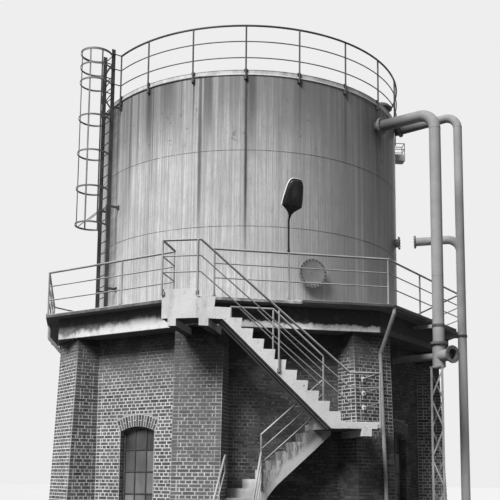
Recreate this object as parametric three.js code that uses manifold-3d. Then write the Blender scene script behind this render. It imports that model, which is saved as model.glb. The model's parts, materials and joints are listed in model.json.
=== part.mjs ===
// Water tower: a welded steel tank on an octagonal concrete gallery slab, carried by a
// brick octagon with battered corner piers. An outside concrete stair climbs
// the front, a caged ladder climbs the tank, and two riser pipes stand at the right.
// Millimetres, +Z up. The origin is the tank's axis at ground level; the front face looks
// along -Y. Azimuths are degrees round the axis from the front, positive towards +X.
import * as THREE from 'three';
import { mergeVertices } from 'three/addons/utils/BufferGeometryUtils.js';
import Module from 'manifold-3d';

const wasm = await Module();
wasm.setup();

// Driving dimensions of the brick base
const GAP = 0.3;
const CORNER = 22.5;
const FACE_STEP = 45;
const WALL_OUT = 4350;
const WALL_IN = 3970;
const PIER_HALF = 530;
const PIER_IN = 4070;
const PIER_TOP_OUT = 5020;
const PIER_FOOT_OUT = 5220;
const BEAM_BOTTOM = 4760;
const BEAM_OUT = 4900;
const FLOOR_TOP = 120;

// Window in a wall face
const WINDOW_HALF = 500;
const WINDOW_SILL = 760;
const WINDOW_SPRING = 2610;
const WINDOW_CROWN = 2720;
const SASH_SETBACK = 130;
const SASH_DEPTH = 60;

// Gallery slab and tank
const SLAB_BOTTOM = 5250;
const SLAB_TOP = 5330;
const SLAB_OUT = 5200;
const CORE_BOTTOM = 5000;
const TANK_R = 4000;
const SHELL_THICK = 15;
const BASE_PLATE = 15;
const SHELL_TOP = 10880;
const RIM_TOP = 11000;
const RIM_OUT = 4022;
const TANK_SEGMENTS = 96;

// Roof railing
const RAIL_CIRCLE = 4052;
const RAIL_HEIGHTS = [11280, 11680, 12070];
const ROOF_POST_STEP = 18;
const ROOF_POST_FIRST = -48.1;
const ROOF_POST_FOOT = 10760;

// Ladder
const LADDER_AZ = -67.5;
const LADDER_R = 4250;
const LADDER_HALF = 250;
const LADDER_TOP = 12200;
const RUNG_STEP = 280;
const HOOP_HEIGHTS = [7650, 8550, 9450, 10350, 11280, 11680, 12050];
const HOOP_R = 380;

// Gallery railing
const RAIL_INSET = 45;
const GALLERY_RAILS = [340, 670, 1000];
const FRONT_RAILS = [400, 710, 1020];

// Stair
const STAIR_OUT = -5870;
const STAIR_IN = -5260;
const LOWER_OUT = -5020;
const LANDING_AZ = -22.5;
const LANDING_LEFT = -460;
const LANDING_BOTTOM = 4730;
const FIRST_TREAD = 5175;
const MID_TOP = 2735;
const MID_BOTTOM = 2590;
const MID_RIGHT = 1670;
const UPPER_STEPS = 12;
const UPPER_GOING = 228;
const UPPER_END = 830;
const LOWER_STEPS = 14;
const LOWER_GOING = 220;
const LOWER_START = 473;
const LOWER_STRAIGHT = 5;
const WINDERS = 3;

const rad = (degrees) => degrees * Math.PI / 180;
const SIN_C = Math.sin(rad(CORNER));
const COS_C = Math.cos(rad(CORNER));

// Materials
const paint = (color, roughness, metalness = 0) =>
  new THREE.MeshStandardMaterial({ color, roughness, metalness });
const brick = paint(0x5f5c5a, 0.95);
const concrete = paint(0x9c9a95, 0.9);
const paleConcrete = paint(0xc9c7c2, 0.88);
const tankSteel = paint(0x9d9d9b, 0.6, 0.2);
const railSteel = paint(0xa9a9a8, 0.5, 0.5);
const darkSteel = paint(0x4d4d4d, 0.6, 0.4);
const pipePaint = paint(0xb4b4b2, 0.5, 0.1);
const windowPaint = paint(0x7f807e, 0.6);

const tower = new THREE.Group();

// Solids: a three.js geometry to a manifold, booleans, and back
function solid(geometry) {
  const bare = geometry.index ? geometry.toNonIndexed() : geometry.clone();
  bare.deleteAttribute('normal');
  bare.deleteAttribute('uv');
  const merged = mergeVertices(bare, 1e-3);
  return new wasm.Manifold(new wasm.Mesh({
    numProp: 3,
    vertProperties: new Float32Array(merged.attributes.position.array),
    triVerts: new Uint32Array(merged.index.array),
  }));
}

const SLIVER = 0.05;
function geometryOf(manifold) {
  const mesh = manifold.asOriginal().simplify(SLIVER).getMesh();
  const geometry = new THREE.BufferGeometry();
  geometry.setAttribute('position', new THREE.BufferAttribute(new Float32Array(mesh.vertProperties), 3));
  geometry.setIndex(new THREE.BufferAttribute(new Uint32Array(mesh.triVerts), 1));
  return geometry;
}

function joined(geometries) {
  let whole = solid(geometries[0]);
  for (const next of geometries.slice(1)) {
    whole = whole.add(solid(next));
  }
  return geometryOf(whole);
}

function cut(geometry, tools) {
  let rest = solid(geometry);
  for (const tool of tools) {
    rest = rest.subtract(solid(tool));
  }
  return geometryOf(rest);
}

function add(name, geometry, material, azimuth = 0) {
  const mesh = new THREE.Mesh(geometry, material);
  mesh.name = name;
  mesh.rotation.z = rad(azimuth);
  tower.add(mesh);
  return mesh;
}

// Shape makers
const v3 = (x, y, z) => new THREE.Vector3(x, y, z);

// A point at azimuth, radius r outwards and u sideways
function polar(azimuth, r, u, z) {
  const a = rad(azimuth);
  return v3(r * Math.sin(a) + u * Math.cos(a), -r * Math.cos(a) + u * Math.sin(a), z);
}

function shapeOf(points) {
  return new THREE.Shape(points.map(([x, y]) => new THREE.Vector2(x, y)));
}

// A plan outline raised from z0 to z1
function raised(points, z0, z1) {
  const geometry = new THREE.ExtrudeGeometry(shapeOf(points), { depth: z1 - z0, bevelEnabled: false });
  return geometry.translate(0, 0, z0);
}

// An outline in X and Z, carried from y0 to y1
function sideways(points, y0, y1) {
  const geometry = new THREE.ExtrudeGeometry(shapeOf(points), { depth: y1 - y0, bevelEnabled: false });
  return geometry.rotateX(Math.PI / 2).translate(0, y1, 0);
}

function block(x0, x1, y0, y1, z0, z1) {
  const geometry = new THREE.BoxGeometry(x1 - x0, y1 - y0, z1 - z0);
  return geometry.translate((x0 + x1) / 2, (y0 + y1) / 2, (z0 + z1) / 2);
}

// A straight round bar of few sides between two points
function bar(from, to, radius, sides = 6) {
  const along = to.clone().sub(from);
  const geometry = new THREE.CylinderGeometry(radius, radius, along.length(), sides);
  const turn = new THREE.Quaternion().setFromUnitVectors(v3(0, 1, 0), along.normalize());
  return geometry.applyQuaternion(turn).translate(
    (from.x + to.x) / 2, (from.y + to.y) / 2, (from.z + to.z) / 2);
}

// A flat bar between two points; wide is its width direction
function flatBar(from, to, wide, width, thick) {
  const along = to.clone().sub(from);
  const length = along.length();
  along.normalize();
  const side = wide.clone().addScaledVector(along, -wide.dot(along)).normalize();
  const face = new THREE.Vector3().crossVectors(side, along);
  const basis = new THREE.Matrix4().makeBasis(side, along, face);
  const geometry = new THREE.BoxGeometry(width, length, thick).applyMatrix4(basis);
  return geometry.translate((from.x + to.x) / 2, (from.y + to.y) / 2, (from.z + to.z) / 2);
}

// A route through chosen stations, for tubes with bends
class Route extends THREE.Curve {
  constructor(stations) {
    super();
    this.stations = stations;
  }

  station(u) {
    return Math.round(u * (this.stations.length - 1));
  }

  getPoint(u, target = new THREE.Vector3()) {
    return target.copy(this.stations[this.station(u)]);
  }

  getPointAt(u, target) {
    return this.getPoint(u, target);
  }

  getTangent(u, target = new THREE.Vector3()) {
    const i = this.station(u);
    const before = this.stations[Math.max(i - 1, 0)];
    const here = this.stations[i];
    const after = this.stations[Math.min(i + 1, this.stations.length - 1)];
    const inward = here.clone().sub(before).normalize();
    const outward = after.clone().sub(here).normalize();
    return target.copy(inward.add(outward)).normalize();
  }

  getTangentAt(u, target) {
    return this.getTangent(u, target);
  }
}

// Stations of a polyline whose corners are rounded to a bend radius
function rounded(points, bend, pieces = 6) {
  const stations = [points[0].clone()];
  for (let i = 1; i < points.length - 1; i += 1) {
    const into = points[i].clone().sub(points[i - 1]).normalize();
    const out = points[i + 1].clone().sub(points[i]).normalize();
    const turn = into.angleTo(out);
    const back = bend * Math.tan(turn / 2);
    const start = points[i].clone().addScaledVector(into, -back);
    const normal = out.clone().addScaledVector(into, -out.dot(into)).normalize();
    const centre = start.clone().addScaledVector(normal, bend);
    for (let k = 0; k <= pieces; k += 1) {
      const a = turn * k / pieces;
      stations.push(centre.clone().addScaledVector(normal, -bend * Math.cos(a))
        .addScaledVector(into, bend * Math.sin(a)));
    }
  }
  stations.push(points[points.length - 1].clone());
  return stations;
}

function tube(stations, radius, sides) {
  const ring = [];
  for (let i = 0; i < sides; i += 1) {
    const a = 2 * Math.PI * i / sides;
    ring.push([radius * Math.cos(a), radius * Math.sin(a)]);
  }
  return new THREE.ExtrudeGeometry(shapeOf(ring), {
    steps: stations.length - 1, bevelEnabled: false, extrudePath: new Route(stations),
  });
}

// A turned ring or disc from a closed profile of radius and height
function turned(profile, segments) {
  const points = profile.map(([r, z]) => new THREE.Vector2(r, z));
  if (profile[0][0] !== 0) {
    points.push(points[0].clone());
  }
  return new THREE.LatheGeometry(points, segments).rotateX(Math.PI / 2);
}

function octagon(apothem) {
  const points = [];
  for (let i = 0; i < 8; i += 1) {
    const p = polar(CORNER + FACE_STEP * i, apothem / COS_C, 0, 0);
    points.push([p.x, p.y]);
  }
  return points;
}

// Brick base: floor, walls, piers
const FACES = ['front', 'front_right', 'right', 'back_right', 'back', 'back_left', 'left', 'front_left'];
// Half length of a wall face whose end is dist from the radius through its corner
const faceHalf = (apothem, dist) => (apothem * SIN_C - dist) / COS_C;

function windowOutline(grow) {
  const half = WINDOW_HALF + grow;
  const rise = WINDOW_CROWN - WINDOW_SPRING;
  const arcR = (WINDOW_HALF ** 2 + rise ** 2) / (2 * rise);
  const points = [[-half, WINDOW_SILL - grow], [half, WINDOW_SILL - grow]];
  const steps = 8;
  for (let i = 0; i <= steps; i += 1) {
    const x = WINDOW_HALF * (1 - 2 * i / steps);
    const z = WINDOW_CROWN - arcR + Math.sqrt(arcR ** 2 - x ** 2);
    points.push([x * half / WINDOW_HALF, z + grow]);
  }
  return points;
}

// A wall face from one pier to the next, bonded into the pier at its right-hand end
function wallBay(withWindow) {
  const left = (apothem) => -faceHalf(apothem, PIER_HALF + GAP);
  const right = (apothem) => faceHalf(apothem, PIER_HALF - 40);
  const plan = [[left(WALL_OUT), -WALL_OUT], [right(WALL_OUT), -WALL_OUT], [right(WALL_IN), -WALL_IN],
    [left(WALL_IN), -WALL_IN]];
  const wall = raised(plan, 0, BEAM_BOTTOM);
  const opening = sideways(windowOutline(0), -WALL_OUT - 50, -WALL_IN + 50);
  const bay = joined([wall, pierSolid().rotateZ(rad(CORNER))]);
  return withWindow ? cut(bay, [opening]) : bay;
}

function windowSash() {
  const front = -WALL_OUT + SASH_SETBACK;
  const frame = sideways(windowOutline(-GAP), front, front + SASH_DEPTH);
  const frameWidth = 55;
  const glassBack = 20;
  const hole = sideways(windowOutline(-frameWidth), front - 10, front + SASH_DEPTH - glassBack);
  return cut(frame, [hole]);
}

function pierSolid(grow = 0) {
  const profile = [[PIER_IN, 0], [PIER_FOOT_OUT + grow, 0], [PIER_TOP_OUT + grow, BEAM_BOTTOM],
    [PIER_IN, BEAM_BOTTOM]];
  const geometry = new THREE.ExtrudeGeometry(shapeOf(profile), {
    depth: 2 * (PIER_HALF + grow), bevelEnabled: false,
  });
  const toPlace = new THREE.Matrix4().makeBasis(v3(0, -1, 0), v3(0, 0, 1), v3(-1, 0, 0));
  return geometry.applyMatrix4(toPlace).translate(PIER_HALF + grow, 0, 0);
}

// The room is an octagon whose corners are filled by the backs of the piers
function floorPlan() {
  const r = PIER_IN - GAP;
  const half = (WALL_IN - GAP - r * COS_C) / SIN_C;
  const points = [];
  for (let i = 0; i < FACES.length; i += 1) {
    for (const u of [-half, half]) {
      const p = polar(CORNER + FACE_STEP * i, r, u, 0);
      points.push([p.x, p.y]);
    }
  }
  return points;
}

add('ground_floor', raised(floorPlan(), 0, FLOOR_TOP), concrete);
FACES.forEach((face, i) => {
  const hasWindow = i % 2 === 1;
  add(`wall_${face}`, wallBay(hasWindow), brick, FACE_STEP * i);
  if (hasWindow) {
    add(`window_${face}`, windowSash(), windowPaint, FACE_STEP * i);
  }
});

// Ring beam and gallery slab
function octagonRing(outer, inner, z0, z1) {
  const shape = shapeOf(octagon(outer));
  shape.holes.push(new THREE.Path(octagon(inner).map(([x, y]) => new THREE.Vector2(x, y))));
  return new THREE.ExtrudeGeometry(shape, { depth: z1 - z0, bevelEnabled: false }).translate(0, 0, z0);
}

add('ring_beam', octagonRing(BEAM_OUT, WALL_IN, BEAM_BOTTOM, SLAB_BOTTOM), concrete);
const slabPlate = raised(octagon(SLAB_OUT), SLAB_BOTTOM, SLAB_TOP);
const slabCore = raised(octagon(WALL_IN - GAP), CORE_BOTTOM, SLAB_BOTTOM + 10);
add('gallery_slab', joined([slabPlate, slabCore]), concrete);

// Tank
const SHELL_BOTTOM = SLAB_TOP + BASE_PLATE;
const SHELL_IN = TANK_R - SHELL_THICK;
add('tank_bottom', turned([[0, SLAB_TOP], [TANK_R + 40, SLAB_TOP], [TANK_R + 40, SHELL_BOTTOM],
  [0, SHELL_BOTTOM]], TANK_SEGMENTS), tankSteel);
add('tank_shell', turned([[SHELL_IN, SHELL_BOTTOM], [TANK_R, SHELL_BOTTOM], [TANK_R, SHELL_TOP],
  [SHELL_IN, SHELL_TOP]], TANK_SEGMENTS), tankSteel);
add('roof_rim', turned([[SHELL_IN, SHELL_TOP], [RIM_OUT, SHELL_TOP], [RIM_OUT, RIM_TOP],
  [SHELL_IN, RIM_TOP]], TANK_SEGMENTS), tankSteel);
const ROOF_EDGE = 10950;
const ROOF_RISE = 260;
const ROOF_THICK = 10;
const ROOF_R = SHELL_IN - GAP;
add('tank_roof', turned([[0, ROOF_EDGE + ROOF_RISE], [ROOF_R, ROOF_EDGE],
  [ROOF_R, ROOF_EDGE + ROOF_THICK], [0, ROOF_EDGE + ROOF_RISE + ROOF_THICK]], TANK_SEGMENTS), tankSteel);

// Round vent hatch on the roof
const VENT_AZ = 58;
const VENT_R = 3720;
const VENT_BODY = 180;
const VENT_CAP = 290;
const VENT_NECK = 250;
const VENT_TOP = 410;
const roofTopAt = (r) => ROOF_EDGE + ROOF_THICK + ROOF_RISE * (1 - r / ROOF_R);
const ventFoot = roofTopAt(VENT_R - VENT_BODY) + GAP;
const ventAt = polar(VENT_AZ, VENT_R, 0, 0);
add('roof_vent', turned([[0, 0], [VENT_BODY, 0], [VENT_BODY, VENT_NECK], [VENT_CAP, VENT_NECK + 10],
  [VENT_CAP, VENT_NECK + 40], [VENT_CAP * 0.75, VENT_TOP - 40], [0, VENT_TOP]], 20)
  .translate(ventAt.x, ventAt.y, ventFoot), darkSteel);

// Roof railing, in three lengths that leave a way in at the ladder
const TOP_RAIL = 24;
const LOW_RAIL = 14;
const POST = 20;
const LADDER_WAY = 3.85;

function arcRail(from, to, height, radius) {
  const pieces = Math.max(2, Math.round((to - from) / 9));
  const stations = [];
  for (let i = 0; i <= pieces; i += 1) {
    stations.push(polar(from + (to - from) * i / pieces, RAIL_CIRCLE, 0, height));
  }
  return tube(stations, radius, 6);
}

function roofPost(azimuth) {
  const top = RAIL_HEIGHTS[2];
  return [
    bar(polar(azimuth, RAIL_CIRCLE, 0, ROOF_POST_FOOT), polar(azimuth, RAIL_CIRCLE, 0, top), POST),
    flatBar(polar(azimuth, TANK_R - 10, 0, ROOF_POST_FOOT + 50),
      polar(azimuth, RAIL_CIRCLE, 0, ROOF_POST_FOOT + 50), v3(0, 0, 1), 90, 40),
  ];
}

const underRim = turned([[0, ROOF_POST_FOOT - 100], [TANK_R + GAP, ROOF_POST_FOOT - 100],
  [TANK_R + GAP, SHELL_TOP - GAP], [0, SHELL_TOP - GAP]], TANK_SEGMENTS);
const ROOF_POSTS = 19;
const posts = [LADDER_AZ + LADDER_WAY, LADDER_AZ - LADDER_WAY + 360];
for (let i = 0; i < ROOF_POSTS; i += 1) {
  posts.push(ROOF_POST_FIRST + ROOF_POST_STEP * i);
}
const railEnds = [LADDER_AZ + LADDER_WAY, 50.9, 176.9, LADDER_AZ - LADDER_WAY + 360];
const RAIL_LENGTHS = railEnds.length - 1;
const SEAM = 0.045;
for (let i = 0; i < RAIL_LENGTHS; i += 1) {
  const from = railEnds[i] + (i > 0 ? SEAM : 0);
  const to = railEnds[i + 1] - (i < RAIL_LENGTHS - 1 ? SEAM : 0);
  const pieces = [
    arcRail(from, to, RAIL_HEIGHTS[0], LOW_RAIL),
    arcRail(from, to, RAIL_HEIGHTS[1], LOW_RAIL),
    arcRail(from, to, RAIL_HEIGHTS[2], TOP_RAIL),
  ];
  for (const azimuth of posts.filter((a) => a >= from - 0.01 && a <= to + 0.01)) {
    pieces.push(...roofPost(azimuth));
  }
  const end = i === 0 ? from : to;
  const side = i === 0 ? 1 : -1;
  if (i === 0 || i === RAIL_LENGTHS - 1) {
    const u = side * RAIL_CIRCLE * Math.sin(rad(LADDER_WAY));
    for (const height of RAIL_HEIGHTS) {
      const atLadder = polar(LADDER_AZ, LADDER_R + 40, u, height);
      pieces.push(bar(polar(end, RAIL_CIRCLE, 0, height), atLadder, LOW_RAIL));
    }
  }
  add(`roof_railing_${i + 1}`, cut(joined(pieces), [underRim]), railSteel);
}

// Ladder with its wall brackets, and its cage
const STILE_DEEP = 100;
const LADDER_BRACKETS = [6100, 8150, 10700];
const RUNG_R = 12;
const STILE_THICK = 12;
const BAND = 45;
const TOP_BAND = 60;
const BAND_THICK = 8;
const STRAP_ANGLES = [90, 135, 180, 225, 270];
const STAY_ANGLE = 125;
const STAY_RISE = 480;

function ladder() {
  const pieces = [];
  for (const side of [-1, 1]) {
    const x = side * LADDER_HALF;
    pieces.push(block(x - STILE_THICK / 2, x + STILE_THICK / 2, -LADDER_R - STILE_DEEP / 2,
      -LADDER_R + STILE_DEEP / 2, SLAB_TOP, LADDER_TOP));
    for (const z of LADDER_BRACKETS) {
      pieces.push(flatBar(v3(x, -LADDER_R, z), v3(x, -TANK_R - 8, z), v3(0, 0, 1), 60, STILE_THICK - 2));
    }
  }
  for (let z = SLAB_TOP + RUNG_STEP; z < LADDER_TOP - 100; z += RUNG_STEP) {
    pieces.push(bar(v3(-LADDER_HALF, -LADDER_R, z), v3(LADDER_HALF, -LADDER_R, z), RUNG_R));
  }
  return joined(pieces);
}

function cage() {
  const start = -LADDER_R - STILE_DEEP / 2 - GAP;
  const bandOut = HOOP_R + BAND_THICK;
  const centreY = start - Math.sqrt(bandOut ** 2 - LADDER_HALF ** 2);
  const open = Math.asin(LADDER_HALF / bandOut);
  const hoopPoint = (angle, r, z) => v3(r * Math.sin(angle), centreY + r * Math.cos(angle), z);
  const steps = 14;
  const plan = [];
  for (let i = 0; i <= 2 * steps + 1; i += 1) {
    const outside = i <= steps;
    const share = (outside ? i : 2 * steps + 1 - i) / steps;
    const p = hoopPoint(open + (2 * Math.PI - 2 * open) * share, outside ? bandOut : HOOP_R, 0);
    plan.push([p.x, p.y]);
  }
  const topHoop = HOOP_HEIGHTS.length - 1;
  const pieces = HOOP_HEIGHTS.map((z, i) => {
    const half = (i === topHoop ? TOP_BAND : BAND) / 2;
    return raised(plan, z - half, z + half);
  });
  const foot = HOOP_HEIGHTS[0];
  for (const angle of STRAP_ANGLES.map(rad)) {
    const tangent = v3(Math.cos(angle), -Math.sin(angle), 0);
    pieces.push(flatBar(hoopPoint(angle, HOOP_R, foot - BAND / 2 + 2),
      hoopPoint(angle, HOOP_R, HOOP_HEIGHTS[topHoop] + BAND / 2), tangent, 40, BAND_THICK));
  }
  for (const side of [-1, 1]) {
    const stay = hoopPoint(rad(side > 0 ? STAY_ANGLE : 360 - STAY_ANGLE), HOOP_R + 2, foot);
    const pad = start - 15;
    pieces.push(bar(stay, v3(side * LADDER_HALF, pad, foot + STAY_RISE), 12, 4));
    pieces.push(block(side * LADDER_HALF - 9, side * LADDER_HALF + 9, pad - 15, start,
      foot - 10, foot + STAY_RISE + 40));
  }
  return joined(pieces);
}

add('ladder', ladder(), darkSteel, LADDER_AZ);
add('ladder_cage', cage(), darkSteel, LADDER_AZ);

// Manhole and the low nozzle on the tank's side. Each fitting starts inside the tank and is
// trimmed to a fine gap off its outer surface.
const FIT_START = TANK_R - 30;
function fitted(geometry, azimuth, radius = TANK_R) {
  const inside = turned([[0, SHELL_BOTTOM], [radius + GAP, SHELL_BOTTOM], [radius + GAP, LADDER_TOP],
    [0, LADDER_TOP]], TANK_SEGMENTS);
  return cut(geometry, [inside.rotateZ(-rad(azimuth))]);
}

const alongRadius = new THREE.Matrix4().makeBasis(v3(1, 0, 0), v3(0, -1, 0), v3(0, 0, -1));
function radialDiscs(discs, z, sides) {
  const pieces = discs.map(([from, to, radius]) => {
    const disc = new THREE.CylinderGeometry(radius, radius, to - from, sides);
    return disc.applyMatrix4(alongRadius).translate(0, -(from + to) / 2, z);
  });
  return pieces.length > 1 ? joined(pieces) : pieces[0];
}

const MANHOLE_AZ = 10;
const MANHOLE_Z = 6215;
const MANHOLE_NECK_R = 270;
const MANHOLE_COVER_R = 340;
const MANHOLE_OUT = TANK_R + 160;
const MANHOLE_COVER = 50;
add('manhole', fitted(radialDiscs([[FIT_START, MANHOLE_OUT - MANHOLE_COVER / 2, MANHOLE_NECK_R],
  [MANHOLE_OUT - MANHOLE_COVER, MANHOLE_OUT, MANHOLE_COVER_R]], MANHOLE_Z, 32), MANHOLE_AZ),
tankSteel, MANHOLE_AZ);
const NOZZLE_AZ = 61.6;
const NOZZLE_Z = 7660;
const NOZZLE_FACE = 4120;
const FLANGE_R = 168;
const BORE_R = 100;
const nozzleBore = radialDiscs([[TANK_R + 40, NOZZLE_FACE + 30, BORE_R]], NOZZLE_Z, 20);
const nozzleBody = radialDiscs([[FIT_START, NOZZLE_FACE - 10, 110],
  [NOZZLE_FACE - 26, NOZZLE_FACE, FLANGE_R]], NOZZLE_Z, 20);
add('low_nozzle', fitted(cut(nozzleBody, [nozzleBore]), NOZZLE_AZ), darkSteel, NOZZLE_AZ);

// Riser pipes
// tap is how far round the tank, in degrees, a riser's arm meets it from the riser's own azimuth,
// and rise is how far the arm climbs from there to its elbow
const RISER_1 = {
  az: 42, r: 5565, radius: 137, flange: 205, meets: TANK_R, tap: 0, rise: 0, top: 10310,
  foot: 4700, bend: 400,
};
const RISER_2 = {
  az: NOZZLE_AZ, r: 5660, radius: 110, flange: FLANGE_R, meets: RIM_OUT, tap: 5, rise: 130, top: 10960,
  foot: 0, bend: 320,
};
const PIPE_SIDES = 16;
const FLANGE_SIDES = 20;
const FLANGE_THICK = 28;
const FLANGE_BACK = 100;
const GASKET = 2;

const tapOf = (pipe) => polar(pipe.tap, FIT_START, 0, pipe.top - pipe.rise);

function riser(pipe, extra) {
  const tap = tapOf(pipe);
  const elbow = v3(0, -pipe.r, pipe.top);
  const way = elbow.clone().sub(tap).normalize();
  const along = (distance) => tap.clone().addScaledVector(way, distance);
  const second = FLANGE_BACK + FLANGE_THICK + GASKET;
  const pieces = [
    tube(rounded([tap, elbow, v3(0, -pipe.r, pipe.foot)], pipe.bend, 7), pipe.radius, PIPE_SIDES),
    bar(along(FLANGE_BACK), along(FLANGE_BACK + FLANGE_THICK), pipe.flange, FLANGE_SIDES),
    bar(along(second), along(second + FLANGE_THICK), pipe.flange, FLANGE_SIDES),
    bar(along(FLANGE_BACK + 2), along(second + 2), pipe.flange - 40, FLANGE_SIDES),
  ];
  return fitted(joined([...pieces, ...extra]), pipe.az, pipe.meets);
}

// An upright disc or pipe on the first riser's line
function upright(radius, z0, z1) {
  return new THREE.CylinderGeometry(radius, radius, z1 - z0, FLANGE_SIDES).rotateX(Math.PI / 2)
    .translate(0, -RISER_1.r, (z0 + z1) / 2);
}

const footFlange = upright(RISER_1.flange, RISER_1.foot, RISER_1.foot + FLANGE_THICK);
add('riser_pipe_1', riser(RISER_1, [footFlange]), pipePaint, RISER_1.az);
const BRANCH_FACE = 4510;
const BRANCH_R = 108;
const BRANCH_BEND = 330;
const branchRoute = rounded([v3(0, -BRANCH_FACE - 5, NOZZLE_Z), v3(0, -RISER_2.r, NOZZLE_Z),
  v3(0, -RISER_2.r, NOZZLE_Z - 2 * BRANCH_BEND)], BRANCH_BEND, 7);
const branch = [
  tube(branchRoute, BRANCH_R, PIPE_SIDES),
  radialDiscs([[BRANCH_FACE, BRANCH_FACE + FLANGE_THICK, FLANGE_R]], NOZZLE_Z, FLANGE_SIDES),
];
const branchBore = radialDiscs([[BRANCH_FACE - 20, BRANCH_FACE + 260, BORE_R]], NOZZLE_Z, FLANGE_SIDES);
add('riser_pipe_2', cut(riser(RISER_2, branch), [branchBore]), pipePaint, RISER_2.az);

// Brackets that hold the risers to the ring beam, each with a clamp round its pipe
const CLAMP_HALF = 30;
const CLAMP_THICK = 14;
const ARM_HALF = 40;
const BRACKET_1_Z = 5120;
const BRACKET_2_Z = 5150;
function pipeBracket(pipe, z) {
  const offset = Math.abs(pipe.az - Math.round((pipe.az - CORNER) / FACE_STEP + 0.5) * FACE_STEP);
  const from = BEAM_OUT / Math.cos(rad(Math.min(offset, CORNER))) + ARM_HALF * Math.sin(rad(CORNER));
  const tap = tapOf(pipe);
  const turn = Math.atan2(-tap.x, pipe.r + tap.y);
  const arm = block(-ARM_HALF, ARM_HALF, -pipe.r + pipe.radius, -from, z - ARM_HALF, z + ARM_HALF);
  const clampOut = pipe.radius + CLAMP_THICK;
  const clampIn = pipe.radius - 5;
  const clamp = turned([[clampIn, -CLAMP_HALF], [clampOut, -CLAMP_HALF], [clampOut, CLAMP_HALF],
    [clampIn, CLAMP_HALF]], PIPE_SIDES).translate(0, -pipe.r, z);
  const boreR = pipe.radius + GAP;
  const bore = new THREE.CylinderGeometry(boreR, boreR, 4 * ARM_HALF, PIPE_SIDES).rotateX(Math.PI / 2)
    .rotateZ(turn).translate(0, -pipe.r, z);
  return cut(joined([arm, clamp]), [bore]);
}

add('pipe_bracket_1', pipeBracket(RISER_1, BRACKET_1_Z), railSteel, RISER_1.az);
add('pipe_bracket_2', pipeBracket(RISER_2, BRACKET_2_Z), railSteel, RISER_2.az);

// Lattice mast under the first riser, and the tee on its head
const MAST_R = 5500;
const MAST_HALF = 126;
const MAST_TOP = 4130;
const MAST_BAYS = 6;
const MAST_TURN = rad(25);
const MAST_LEG = 30;
const MAST_LACE = 16;
const HEAD_HALF = 160;
const HEAD_THICK = 20;
function mast() {
  const pieces = [block(-HEAD_HALF, HEAD_HALF, -HEAD_HALF, HEAD_HALF, MAST_TOP, MAST_TOP + HEAD_THICK)];
  const corners = [[-1, -1], [1, -1], [1, 1], [-1, 1]];
  const at = ([sx, sy], z) => v3(sx * MAST_HALF, sy * MAST_HALF, z);
  for (const corner of corners) {
    pieces.push(bar(at(corner, 0), at(corner, MAST_TOP + 5), MAST_LEG, 4));
  }
  const pitch = (MAST_TOP - 60) / MAST_BAYS;
  for (let side = 0; side < 4; side += 1) {
    for (let i = 0; i < MAST_BAYS; i += 1) {
      const a = corners[(side + ((i + 1) % 2)) % 4];
      const b = corners[(side + (i % 2)) % 4];
      pieces.push(bar(at(a, 30 + pitch * i), at(b, 30 + pitch * (i + 1)), MAST_LACE, 4));
    }
  }
  return joined(pieces).rotateZ(MAST_TURN).translate(0, -MAST_R, 0);
}

add('pipe_mast', mast(), railSteel, RISER_1.az);

const TEE_Z = 4400;
const TEE_R = 150;
const TEE_INLET_R = 84;
const TEE_BORE_R = 125;
const OUTLET_ASIDE = -190;
const OUTLET_REACH = 430;
const teeFoot = MAST_TOP + HEAD_THICK + GAP;
const teeTop = RISER_1.foot - GAP;
const teeCentre = v3(0, -RISER_1.r, TEE_Z);
const outletEnd = v3(OUTLET_ASIDE, -RISER_1.r - OUTLET_REACH, TEE_Z);
const outletWay = outletEnd.clone().sub(teeCentre).normalize();
const fromEnd = (distance) => outletEnd.clone().addScaledVector(outletWay, distance);
const inletEnd = v3(0, -WALL_OUT / Math.cos(rad(FACE_STEP - RISER_1.az)) - 12, TEE_Z);
const teePieces = [
  upright(TEE_R, teeFoot, teeTop),
  upright(RISER_1.flange, teeTop - FLANGE_THICK, teeTop),
  bar(teeCentre, inletEnd, TEE_INLET_R, 14),
  bar(teeCentre, outletEnd, RISER_1.radius, PIPE_SIDES),
  bar(fromEnd(-30), outletEnd, RISER_1.flange, FLANGE_SIDES),
];
const outletBore = bar(fromEnd(-180), fromEnd(20), TEE_BORE_R, FLANGE_SIDES);
add('pipe_tee', cut(joined(teePieces), [outletBore]), pipePaint, RISER_1.az);

// Gauge box on the tank's side
const GAUGE_AZ = 84;
const GAUGE_BOTTOM = 10450;
const GAUGE_OUT = TANK_R + 385;
const GUARD_HALF = 150;
const GUARD_LOW = 10780;
const GUARD_TOP = 10950;
const GUARD_BAR = 10;
const GAUGE_HIGH = 180;
function gaugeBox() {
  const pieces = [
    block(-GUARD_HALF, GUARD_HALF, -GAUGE_OUT, -TANK_R - 25, GAUGE_BOTTOM, GAUGE_BOTTOM + GAUGE_HIGH),
    block(-100, 100, -TANK_R - 40, -FIT_START, GAUGE_BOTTOM + 50, GAUGE_BOTTOM + 130),
  ];
  const out = -GAUGE_OUT + 14;
  for (const x of [-GUARD_HALF + 14, GUARD_HALF - 14]) {
    pieces.push(bar(v3(x, out, GAUGE_BOTTOM + GAUGE_HIGH - 30), v3(x, out, GUARD_TOP + 8), GUARD_BAR));
    pieces.push(bar(v3(x, out, GUARD_LOW), v3(x, -FIT_START, GUARD_LOW), GUARD_BAR));
    const upper = bar(v3(x, out, GUARD_TOP), v3(x, -FIT_START, GUARD_TOP), GUARD_BAR);
    pieces.push(fitted(upper, GAUGE_AZ, RIM_OUT));
  }
  for (const z of [GUARD_LOW, GUARD_TOP]) {
    pieces.push(bar(v3(-GUARD_HALF + 4, out, z), v3(GUARD_HALF - 4, out, z), GUARD_BAR));
  }
  return fitted(joined(pieces), GAUGE_AZ);
}

add('gauge_box', gaugeBox(), pipePaint, GAUGE_AZ);

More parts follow.
